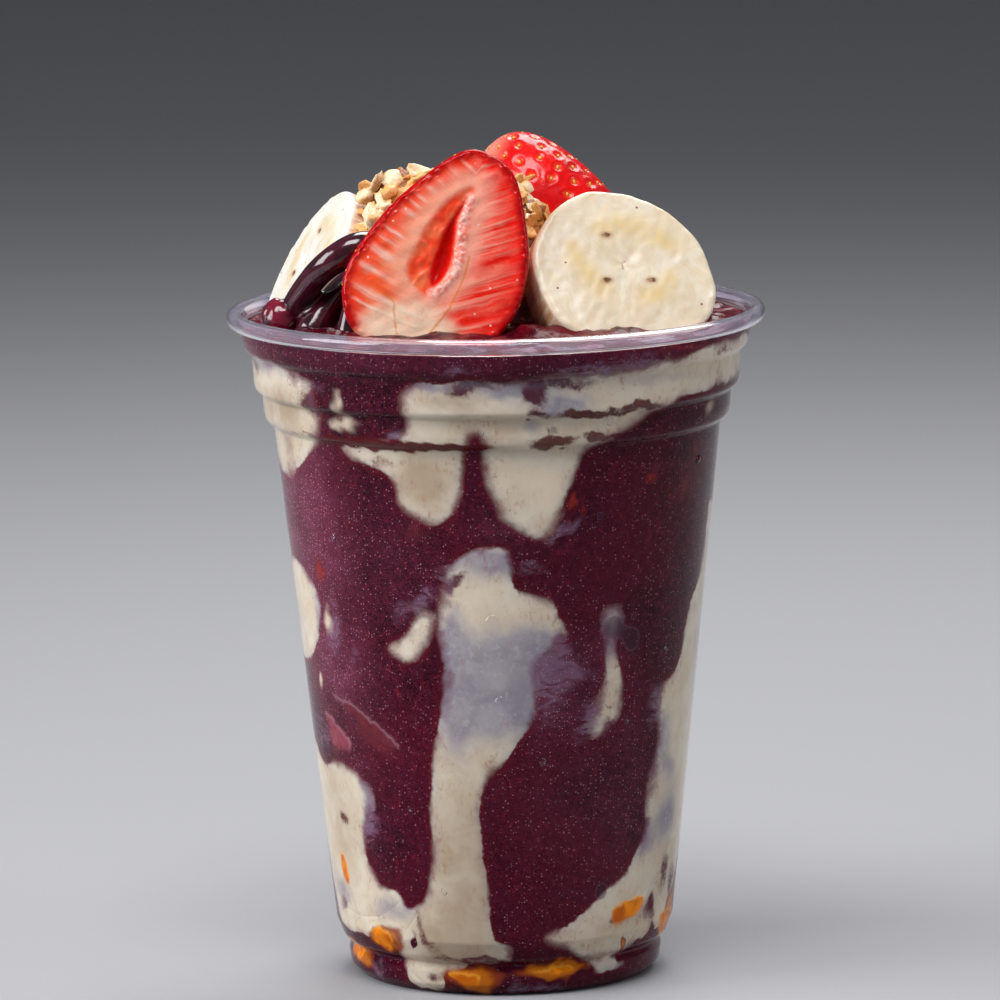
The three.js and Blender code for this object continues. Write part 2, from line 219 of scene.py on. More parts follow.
def evenly(outline: Array, count: int = 0, step: float = 0.55) -> Array:
    """Sets points evenly along a closed outline.

    Args:
        outline: Its corners in order.
        count: How many points to set, or 0 for one at each step.
        step: Distance between them where no count is given.

    Returns:
        The points, one row each.
    """
    closed = np.vstack([outline, outline[:1]])
    along = np.concatenate([[0], np.cumsum(np.linalg.norm(np.diff(closed, axis=0), axis=1))])
    spots = np.linspace(0, along[-1], count or max(24, int(along[-1] / step)), endpoint=False)
    return np.stack([np.interp(spots, along, closed[:, k]) for k in (0, 1)], axis=1)


def turned(turn: float, tilt: float, lean: float) -> Array:
    """Returns the matrix that leans a piece about Y, tilts it back about X, then turns it."""
    euler = Euler((math.radians(-tilt), math.radians(lean), math.radians(turn)), "YXZ")
    return np.array(euler.to_matrix())


# ---- meshes


@dataclass
class Shape:
    """Points, faces and per-point marks of one piece, in millimetres.

    Attributes:
        points: One row for each point.
        faces: Groups of faces, each an array of one width.
        marks: Named values for the points, plain or vectors.
    """

    points: Array
    faces: list[Array]
    marks: dict[str, Array] = field(default_factory=dict)

    def volume(self) -> float:
        """Measures the signed volume.

        Returns:
            The volume, positive where the faces point outwards.
        """
        total = 0.0
        for group in self.faces:
            first = self.points[group[:, 0]]
            for k in range(1, group.shape[1] - 1):
                second, third = self.points[group[:, k]], self.points[group[:, k + 1]]
                total += np.einsum("ij,ij->i", first, np.cross(second, third)).sum()
        return total / 6

    def outwards(self) -> "Shape":
        """Turns the faces over if they point inwards, and returns the shape."""
        if self.volume() < 0:
            self.faces = [group[:, ::-1] for group in self.faces]
        return self

    def placed(self, node: str, spin: Array) -> "Shape":
        """Turns the shape and sets its middle on the middle of a node's box, no higher than its top.

        Args:
            node: The node whose place it takes.
            spin: The turning matrix.

        Returns:
            This shape.
        """
        self.points = self.points @ spin.T
        low, high = (np.array(corner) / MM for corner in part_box(node))
        middle = (self.points.min(0) + self.points.max(0)) / 2
        move = (low + high) / 2 - middle
        move[2] = min(move[2], high[2] - TOP_GAP - self.points[:, 2].max())
        self.points = self.points + move
        return self

    def mesh(self, name: str) -> Mesh:
        """Makes the Blender mesh, smooth all over, with its marks as attributes.

        Args:
            name: The mesh's name.

        Returns:
            The mesh.
        """
        mesh = bpy.data.meshes.new(name)
        mesh.vertices.add(len(self.points))
        mesh.vertices.foreach_set("co", (self.points * MM).astype(np.float32).ravel())
        widths = np.concatenate([np.full(len(g), g.shape[1]) for g in self.faces])
        corners = np.concatenate([group.ravel() for group in self.faces])
        mesh.loops.add(len(corners))
        mesh.loops.foreach_set("vertex_index", corners.astype(np.int32))
        mesh.polygons.add(len(widths))
        starts = np.concatenate([[0], np.cumsum(widths)[:-1]]).astype(np.int32)
        mesh.polygons.foreach_set("loop_start", starts)
        mesh.update(calc_edges=True)
        mesh.polygons.foreach_set("use_smooth", np.ones(len(widths), bool))
        for mark, values in self.marks.items():
            if values.ndim == 2:
                layer = mesh.attributes.new(mark, "FLOAT_VECTOR", "POINT")
                layer.data.foreach_set("vector", values.astype(np.float32).ravel())
            else:
                layer = mesh.attributes.new(mark, "FLOAT", "POINT")
                layer.data.foreach_set("value", values.astype(np.float32))
        mesh.validate()
        mesh.update()
        return mesh


def grid_faces(rows: int, columns: int, wrap: bool = True) -> Array:
    """Returns the four-sided faces of a grid of points laid row by row.

    Args:
        rows: Rows of points.
        columns: Points in a row.
        wrap: Whether the last column joins the first.

    Returns:
        One face in each row of the result.
    """
    row = np.arange(rows - 1)[:, None]
    column = np.arange(columns if wrap else columns - 1)[None, :]
    after = (column + 1) % columns
    corners = [row * columns + column, row * columns + after]
    corners += [(row + 1) * columns + after, (row + 1) * columns + column]
    return np.stack([corner.ravel() for corner in corners], axis=1)


def fan_faces(centre: int, ring: Array) -> Array:
    """Returns the triangles from one point to a closed ring of points."""
    after = np.roll(ring, -1)
    return np.stack([np.full(len(ring), centre), ring, after], axis=1)


def ball(rings: int, columns: int) -> Shape:
    """Makes a unit ball.

    Args:
        rings: Rings of points between its poles.
        columns: Points in a ring.

    Returns:
        The closed shape.
    """
    level = np.linspace(0, math.pi, rings + 2)[1:-1][:, None]
    around = np.linspace(0, 2 * math.pi, columns, endpoint=False)[None, :]
    points = np.stack(
        [
            (np.sin(level) * np.cos(around)).ravel(),
            (np.sin(level) * np.sin(around)).ravel(),
            (np.cos(level) * np.ones_like(around)).ravel(),
        ],
        axis=1,
    )
    points = np.vstack([points, [0, 0, 1], [0, 0, -1]])
    last = rings * columns
    faces = [grid_faces(rings, columns), fan_faces(last, np.arange(columns))[:, ::-1]]
    faces.append(fan_faces(last + 1, np.arange(last - columns, last)))
    return Shape(points, faces).outwards()


class Slot(Enum):
    """The record's material slots."""

    PLASTIC = "clear_plastic"
    ACAI = "acai"
    CREAM = "cream"
    MANGO = "mango"
    FLESH = "strawberry_flesh"
    SKIN = "strawberry_skin"
    BANANA = "banana"
    GRANOLA = "granola"
    BERRY = "berry"


def put(name: str, data: bpy.types.ID) -> bpy.types.Object:
    """Adds an object to the scene.

    Args:
        name: Its name.
        data: The mesh, light or camera that it holds.

    Returns:
        The object.
    """
    thing = bpy.data.objects.new(name, data)
    bpy.context.scene.collection.objects.link(thing)
    return thing


def add_piece(name: str, mesh: Mesh, material: Material, nodes: list) -> None:
    """Adds a finished piece to the cup.

    Args:
        name: The piece's name.
        mesh: Its mesh, already in place.
        material: Its finish.
        nodes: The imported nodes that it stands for.
    """
    piece = put(name, mesh)
    if not mesh.materials:
        mesh.materials.append(material)
    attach(piece, BODY)
    if nodes:
        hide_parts(*nodes)
    log.info("%s: %d faces", name, len(mesh.polygons))


# ---- node graphs


class Graph:
    """A node tree whose nodes are added, set and wired in one call each."""

    tree: bpy.types.NodeTree

    def node(self, kind: str, feeds: dict | None = None, **settings: object) -> bpy.types.Node:
        """Adds a node.

        Args:
            kind: Its type.
            feeds: Sockets or values for its inputs, by name or number; None leaves one as it is.
            settings: Its plain properties.

        Returns:
            The node.
        """
        node = self.tree.nodes.new(kind)
        for key, value in settings.items():
            setattr(node, key, value)
        for key, value in (feeds or {}).items():
            if isinstance(value, Socket):
                self.tree.links.new(value, node.inputs[key])
            elif value is not None:
                node.inputs[key].default_value = value
        return node

    def math(self, kind: str, a: object, b: object = None) -> Socket:
        """Returns the result of one sum of that kind."""
        return self.node("ShaderNodeMath", {0: a, 1: b}, operation=kind).outputs[0]

    def plus(self, a: object, b: object) -> Socket:
        """Returns a and b added."""
        return self.math("ADD", a, b)

    def less(self, a: object, b: object) -> Socket:
        """Returns a with b taken away."""
        return self.math("SUBTRACT", a, b)

    def times(self, a: object, b: object) -> Socket:
        """Returns a and b multiplied."""
        return self.math("MULTIPLY", a, b)

    def split(self, vector: object) -> tuple:
        """Returns the three numbers of a vector."""
        return tuple(self.node("ShaderNodeSeparateXYZ", {0: vector}).outputs)

    def join(self, x: object, y: object, z: object) -> Socket:
        """Returns a vector of three numbers."""
        return self.node("ShaderNodeCombineXYZ", {0: x, 1: y, 2: z}).outputs[0]


class ShaderGraph(Graph):
    """A material's nodes. Sockets and plain numbers are both taken."""

    def __init__(self, name: str) -> None:
        """Makes an empty material.

        Args:
            name: The material's name.
        """
        self.material = bpy.data.materials.new(name)
        self.material.use_nodes = True
        self.tree = self.material.node_tree
        self.tree.nodes.clear()

    def place(self) -> Socket:
        """Returns the point on the object in millimetres."""
        feeds = {0: self.node("ShaderNodeTexCoord").outputs["Object"], "Scale": 1 / MM}
        return self.node("ShaderNodeVectorMath", feeds, operation="SCALE").outputs[0]

    def mark(self, name: str, output: str = "Fac") -> Socket:
        """Returns a mark of the mesh, a plain one unless its Vector output is asked for."""
        return self.node("ShaderNodeAttribute", attribute_name=name).outputs[output]

    def stretch(self, vector: object, scale: Triple) -> Socket:
        """Returns a vector with each part multiplied."""
        return self.node("ShaderNodeVectorMath", {0: vector, 1: scale}, operation="MULTIPLY").outputs[0]

    def noise(
        self, place: object, size: float, detail: float = 2.0, rough: float = 0.5, bend: float = 0.0
    ) -> Socket:
        """Returns noise around one half, of that size from crest to crest, with finer layers and swirls."""
        feeds = {"Vector": place, "Scale": 1 / size, "Detail": detail, "Roughness": rough, "Distortion": bend}
        return self.node("ShaderNodeTexNoise", feeds).outputs["Fac"]

    def cells(self, place: object, size: float) -> tuple:
        """Returns, for scattered cells, the distance to the nearest middle, in cells, and its own colour."""
        node = self.node("ShaderNodeTexVoronoi", {"Vector": place, "Scale": 1 / size, "Randomness": 1.0})
        return node.outputs["Distance"], node.outputs["Color"]

    def rise(self, value: object, low: float, high: float, start: float = 0.0, end: float = 1.0) -> Socket:
        """Returns an S-shaped change from start at low to end at high, which is above low."""
        feeds = {"Value": value, "From Min": low, "From Max": high, "To Min": start, "To Max": end}
        return self.node("ShaderNodeMapRange", feeds, interpolation_type="SMOOTHSTEP").outputs[0]

    def mix(self, part: object, a: object, b: object) -> Socket:
        """Returns colour a changed to colour b by a part of 0 to 1."""
        feeds = {0: part, 6: a, 7: b}
        return self.node("ShaderNodeMix", feeds, data_type="RGBA", clamp_factor=True).outputs[2]

    def over(self, base: object, colour: object, value: object, *span: float) -> Socket:
        """Returns a base with a colour laid over it where a value rises, given as for rise."""
        return self.mix(self.rise(value, *span), base, colour)

    def spot(self, place: object, centre: Triple, core: float, edge: float) -> Socket:
        """Returns a round spot: 1 out to the radius core, and 0 beyond the radius edge."""
        far = self.node("ShaderNodeVectorMath", {0: place, 1: centre}, operation="DISTANCE")
        return self.rise(far.outputs["Value"], core, edge, 1.0, 0.0)

    def bump(self, height: object, depth: float) -> Socket:
        """Returns a normal for a relief of that depth in millimetres."""
        feeds = {"Strength": 1.0, "Distance": depth * MM, "Height": height}
        return self.node("ShaderNodeBump", feeds).outputs[0]

    def principled(self, colour: object, rough: object, normal: object = None, **more: object) -> Socket:
        """Makes a Principled shader.

        Args:
            colour: The surface colour.
            rough: Its roughness.
            normal: Its relief, if any.
            more: Other inputs, with an underscore for each space in their names.

        Returns:
            The shader.
        """
        feeds = {"Base Color": colour, "Roughness": rough, "Normal": normal}
        feeds |= {key.replace("_", " "): value for key, value in more.items()}
        return self.node("ShaderNodeBsdfPrincipled", feeds).outputs[0]

    def ends_in(self, shader: Socket) -> Material:
        """Ends the graph in a shader and returns the material."""
        self.node("ShaderNodeOutputMaterial", {"Surface": shader})
        return self.material

    def finish(self, *given: object, **more: object) -> Material:
        """Ends the graph in one Principled shader, given as above, and returns the material."""
        return self.ends_in(self.principled(*given, **more))


class NodeTree(Graph):
    """A Geometry Nodes tree with named inputs."""

    def __init__(self, name: str, inputs: list) -> None:
        """Makes a tree.

        Args:
            name: The tree's name.
            inputs: Pairs of an input's name and its socket type, after the geometry.
        """
        self.tree = bpy.data.node_groups.new(name, "GeometryNodeTree")
        face = self.tree.interface
        face.new_socket("Geometry", in_out="INPUT", socket_type="NodeSocketGeometry")
        self.keys = {}
        for label, kind in inputs:
            self.keys[label] = face.new_socket(label, in_out="INPUT", socket_type=kind).identifier
        face.new_socket("Geometry", in_out="OUTPUT", socket_type="NodeSocketGeometry")
        self.start = self.tree.nodes.new("NodeGroupInput")
        self.end = self.tree.nodes.new("NodeGroupOutput")

    def given(self, label: str) -> Socket:
        """Returns one of the tree's inputs."""
        return self.start.outputs[label]

    def named(self, label: str, kind: str) -> Socket:
        """Returns an attribute of the points, FLOAT, INT or FLOAT_VECTOR."""
        node = self.node("GeometryNodeInputNamedAttribute", {"Name": label}, data_type=kind)
        return node.outputs["Attribute"]

    def ends_in(self, geometry: Socket) -> None:
        """Realizes what the tree made, gives it the Material input and ends there.

        Args:
            geometry: What the tree made.
        """
        real = self.node("GeometryNodeRealizeInstances", {"Geometry": geometry})
        feeds = {"Geometry": real.outputs[0], "Material": self.given("Material")}
        dressed = self.node("GeometryNodeSetMaterial", feeds)
        self.tree.links.new(dressed.outputs[0], self.end.inputs[0])

    def run(self, name: str, base: Mesh, values: dict) -> Mesh:
        """Runs the tree on a mesh.

        Args:
            name: The name of the result.
            base: The mesh that the tree starts from.
            values: A value for each named input.

        Returns:
            The result as a plain mesh.
        """
        carrier = put(name + "_base", base)
        modifier = carrier.modifiers.new("build", "NODES")
        modifier.node_group = self.tree
        for label, value in values.items():
            modifier[self.keys[label]] = value
        return evaluated(carrier, name)


def evaluated(carrier: bpy.types.Object, name: str) -> Mesh:
    """Turns an object's modifiers into a plain mesh, and removes the object.

    Args:
        carrier: The object with its modifiers.
        name: The name of the result.

    Returns:
        The plain mesh, smooth all over.
    """
    graph = bpy.context.evaluated_depsgraph_get()
    mesh = bpy.data.meshes.new_from_object(
        carrier.evaluated_get(graph), preserve_all_data_layers=True, depsgraph=graph
    )
    mesh.name = name
    base = carrier.data
    carrier.modifiers.clear()
    bpy.data.objects.remove(carrier)
    bpy.data.meshes.remove(base)
    mesh.polygons.foreach_set("use_smooth", np.ones(len(mesh.polygons), bool))
    return mesh


@cache
def lathe_tree() -> NodeTree:
    """Makes the tree that turns a profile of joined points round the Z axis.

    Returns:
        A tree whose base mesh is the profile, in its order from axis to axis, in the XZ plane.
    """
    made = NodeTree("turned_profile", [("Sides", "NodeSocketInt"), ("Material", "NodeSocketMaterial")])
    profile = made.given("Geometry")
    size = made.node("GeometryNodeAttributeDomainSize", {"Geometry": profile}, component="MESH")
    count = size.outputs["Point Count"]
    columns = made.plus(made.given("Sides"), 1.0)
    feeds = {"Size X": 1.0, "Size Y": 1.0, "Vertices X": columns, "Vertices Y": count}
    sheet = made.node("GeometryNodeMeshGrid", feeds).outputs[0]
    across, along, _ = made.split(made.node("GeometryNodeInputPosition").outputs[0])
    angle = made.times(made.plus(across, 0.5), 2 * math.pi)
    row = made.math("ROUND", made.times(made.plus(along, 0.5), made.less(count, 1.0)))
    feeds = {"Geometry": profile, "Value": made.node("GeometryNodeInputPosition").outputs[0], "Index": row}
    point = made.node("GeometryNodeSampleIndex", feeds, data_type="FLOAT_VECTOR")
    radius, _, height = made.split(point.outputs[0])
    x, y = (made.times(radius, made.math(kind, angle)) for kind in ("COSINE", "SINE"))
    feeds = {"Geometry": sheet, "Position": made.join(x, y, height)}
    feeds = {"Geometry": made.node("GeometryNodeSetPosition", feeds).outputs[0], "Distance": 1e-6}
    made.ends_in(made.node("GeometryNodeMergeByDistance", feeds).outputs[0])
    return made


@cache
def placer_tree() -> NodeTree:
    """Makes the tree that sets a loose shape on every point of a mesh.

    Returns:
        A tree that reads aim, spin, size and kind from the points.
    """
    inputs = [("Shapes", "NodeSocketCollection"), ("Material", "NodeSocketMaterial")]
    made = NodeTree("set_on_points", inputs)
    feeds = {"Vector": made.named("aim", "FLOAT_VECTOR")}
    aim = made.node("FunctionNodeAlignRotationToVector", feeds, axis="Z")
    feeds = {"Axis": (0.0, 0.0, 1.0), "Angle": made.named("spin", "FLOAT")}
    spin = made.node("FunctionNodeAxisAngleToRotation", feeds)
    feeds = {"Rotation": aim.outputs[0], "Rotate By": spin.outputs[0]}
    both = made.node("FunctionNodeRotateRotation", feeds, rotation_space="LOCAL")
    feeds = {"Collection": made.given("Shapes"), "Separate Children": True, "Reset Children": True}
    shapes = made.node("GeometryNodeCollectionInfo", feeds)
    feeds = {"Points": made.given("Geometry"), "Instance": shapes.outputs[0], "Pick Instance": True}
    feeds["Instance Index"] = made.named("kind", "INT")
    feeds["Rotation"] = both.outputs[0]
    feeds["Scale"] = made.named("size", "FLOAT_VECTOR")
    made.ends_in(made.node("GeometryNodeInstanceOnPoints", feeds).outputs[0])
    return made


@dataclass
class Loose:
    """Many small things of a few shapes, each set on its own point.

    Attributes:
        name: The name of the piece they make.
        shapes: The shapes to choose from, each about one millimetre.
        points: Where they sit.
        aim: Which way each one's Z axis points.
        spin: How far each is turned about that axis.
        size: How much each is scaled along its own axes.
        kind: Which shape each one has.
    """

    name: str
    shapes: list[Shape]
    points: Array
    aim: Array
    spin: Array
    size: Array
    kind: Array

    def build(self, material: Material, slot: Slot) -> None:
        """Joins them into one plain mesh by the placer tree, and adds it.

        Args:
            material: Their finish.
            slot: The record's slot that they belong to; not used.
        """
        shelf = bpy.data.collections.new(self.name + "_shapes")
        for k, shape in enumerate(self.shapes):
            item = bpy.data.objects.new(f"{self.name}_shape_{k:02d}", shape.mesh(f"{self.name}_{k:02d}"))
            shelf.objects.link(item)
        base = bpy.data.meshes.new(self.name + "_points")
        base.vertices.add(len(self.points))
        base.vertices.foreach_set("co", (self.points * MM).astype(np.float32).ravel())
        for label, values in (("aim", self.aim), ("size", self.size)):
            layer = base.attributes.new(label, "FLOAT_VECTOR", "POINT")
            layer.data.foreach_set("vector", values.astype(np.float32).ravel())
        base.attributes.new("spin", "FLOAT", "POINT").data.foreach_set("value", self.spin.astype(np.float32))
        base.attributes.new("kind", "INT", "POINT").data.foreach_set("value", self.kind.astype(np.int32))
        base.update()
        mesh = placer_tree().run(self.name, base, {"Shapes": shelf, "Material": material})
        for item in list(shelf.objects):
            shape_mesh = item.data
            bpy.data.objects.remove(item)
            bpy.data.meshes.remove(shape_mesh)
        bpy.data.collections.remove(shelf)
        for label in ("aim", "size", "spin", "kind"):
            if label in mesh.attributes:
                mesh.attributes.remove(mesh.attributes[label])
        add_piece(self.name, mesh, material, [])


# ---- the wall and its paint

WALL_THICK = 0.6
FLOOR_TOP = 2.6
FILL_LEVEL = 119.3
UNROLLED = 38.0 * math.pi / 180  # width of one degree of the wall when it is laid flat
TOP_EDGE = 0.01  # how far below the fill level a point still counts as the puree's top

# Radius and height of each corner of the cup's outer wall, from the foot up.
WALL_CORNERS = [
    (26.5, 0.0), (28.3, 2.0), (28.6, 4.5), (28.2, 5.9), (29.6, 7.2), (30.8, 10.3), (40.6, 101.3),
    (40.7, 101.6), (41.5, 101.9), (42.1, 102.6), (42.4, 104.0), (42.6, 107.0), (42.65, 107.3),
    (43.4, 107.6), (44.0, 108.3), (44.2, 110.0), (44.4, 114.2), (44.45, 114.5), (45.2, 114.8),
    (45.8, 115.6), (46.2, 117.2), (46.5, 119.2), (46.6, 121.5),
]


class Wall:
    """The cup's outer wall: a radius for each height, with its corners slightly rounded."""

    def __init__(self) -> None:
        """Rounds the corners of the wall's outline."""
        step = 0.05
        self.heights = np.arange(-1.0, 122.0, step)
        corner_radii, corner_heights = zip(*WALL_CORNERS)
        plain = np.interp(self.heights, corner_heights, corner_radii)
        reach = np.arange(-20, 21) * step
        weights = np.exp(-((reach / 0.2) ** 2))
        padded = np.pad(plain, 20, mode="edge")
        self.radii = np.convolve(padded, weights / weights.sum(), mode="valid")

    def radius(self, height: Array) -> Array:
        """Returns the outer radius at each height."""
        return np.interp(height, self.heights, self.radii)

    def place(self, angle: Array, height: Array, inset: Array) -> Array:
        """Finds points near the wall.

        Args:
            angle: Degrees from the front, positive to the right.
            height: Height above the table.
            inset: How far inside the outer surface.

        Returns:
            One point in each row.
        """
        radius = self.radius(height) - inset
        around = np.radians(angle)
        return np.stack([radius * np.sin(around), -radius * np.cos(around), height + 0 * around], axis=1)

    def rows(self, low: float, high: float) -> Array:
        """Spaces heights, close together where the wall is stepped.

        Args:
            low: The first height.
            high: The last height.

        Returns:
            The heights.
        """
        heights = [low]
        while heights[-1] < high - 0.3:
            stepped = heights[-1] < 11 or heights[-1] > 100
            heights.append(heights[-1] + (0.3 if stepped else 0.82))
        heights[-1] = high
        return np.array(heights)


WALL = Wall()
PUREE_INSET = 0.45  # how far inside the outer wall the puree ends

# Outline of each streak of cream: degrees from the front and height.
STREAKS = {
    "cream_collar_front": [
        (-21, 112.5), (-10, 114.2), (10, 114.2), (38, 115.5), (62, 117.6), (86, 116.5), (98, 113),
        (84, 110.5), (62, 109.6), (45, 108.2), (31, 103.5), (22.5, 101), (18.5, 94.5), (12, 85.8), (4, 87.6),
        (-2.5, 95), (-3.8, 104), (-7.2, 104), (-9.4, 99), (-12, 90.3), (-19, 88.4), (-25.5, 90.5),
        (-30, 96.8), (-39, 98.6), (-44, 101.2), (-36, 102.4), (-23, 104),
    ],
    "cream_collar_left": [
        (-49, 111.5), (-64, 114.8), (-88, 114.5), (-112, 112), (-108, 103), (-92, 96), (-78, 93.5),
        (-68, 94.5), (-59, 98), (-50, 103.5),
    ],
    "cream_collar_back": [
        (122, 112), (150, 114.5), (178, 114), (206, 113), (228, 109), (216, 103), (203, 99), (196, 88),
        (187, 84), (180, 92), (174, 102), (160, 103), (150, 96), (142, 91), (134, 98), (124, 104),
    ],
    "cream_river": [
        (-5, 83.6), (-12, 81.2), (-14.5, 77.5), (-17.3, 70), (-15.8, 61), (-19, 50.5), (-21.5, 43.5),
        (-22.8, 33.5), (-23.5, 25), (-28, 17.2), (-38, 9.5), (-39, 5.5), (-30, 1.8), (-22, 2.4), (-14, 6.2),
        (-4, 7.0), (-5, 12.5), (-5.4, 21), (-7.4, 31), (-6, 39.5), (2, 45.5), (9.5, 54), (10, 62),
        (18, 67.5), (14, 73.4), (4, 76), (2, 82.8),
    ],
    "cream_right": [
        (80, 87), (96, 80), (98, 62), (92, 44), (86, 24), (72, 14), (58, 18.5), (49, 10), (38, 6.4),
        (28, 7.2), (14, 10.8), (21, 13), (35, 18.3), (47, 23.5), (52, 29), (51.5, 35), (55.5, 45), (54, 54),
        (63, 58.5), (69, 69), (76, 75),
    ],
    "cream_left_high": [(-62, 72), (-72, 77), (-88, 77), (-104, 72), (-98, 62), (-80, 59), (-66, 63)],
    "cream_left_low": [
        (-45.5, 36.5), (-56, 41), (-72, 40.5), (-90, 45), (-98, 38), (-88, 27), (-80, 16), (-66, 13.8),
        (-54, 13.6), (-44, 15), (-37.5, 18), (-45, 20), (-51, 25), (-49, 31.5),
    ],
    "cream_blob": [(-33.5, 64.5), (-27, 67.5), (-22.6, 71.4), (-19.6, 70.4), (-21.5, 65.6), (-27.5, 62.6)],
    "cream_comma": [
        (30.2, 70.6), (35.4, 69.4), (35, 64.6), (37, 57.5), (36, 51.5), (29.5, 48.6), (27.4, 51), (31.2, 57),
        (31.6, 63),
    ],
    "cream_back_river": [
        (176, 79), (168, 74), (166, 62), (160, 50), (157, 36), (150, 22), (138, 11), (146, 7), (166, 8),
        (180, 12), (176, 26), (179, 40), (188, 52), (190, 64), (186, 74),
    ],
    "cream_back_bend": [
        (236, 84), (226, 76), (222, 60), (214, 44), (212, 28), (204, 16), (210, 11), (226, 13), (232, 26),
        (230, 42), (240, 56), (246, 70),
    ],
}


@dataclass(frozen=True)
class Dab:
    """A soft mark on the wall: its place, half width and half height in millimetres, strength and turn."""

    angle: float
    height: float
    wide: float
    tall: float
    strength: float = 1.0
    turn: float = 0.0

    def cover(self, flat: Array) -> Array:
        """Measures how strongly the mark covers points.

        Args:
            flat: Unrolled points, one row each.

        Returns:
            One strength for each point.
        """
        offset = flat - [self.angle * UNROLLED, self.height]
        full = 360 * UNROLLED
        offset[:, 0] = (offset[:, 0] + full / 2) % full - full / 2
        c, s = math.cos(math.radians(self.turn)), math.sin(math.radians(self.turn))
        along = (offset[:, 0] * c + offset[:, 1] * s) / self.wide
        across = (offset[:, 1] * c - offset[:, 0] * s) / self.tall
        return self.strength * np.exp(-(along**2 + across**2))


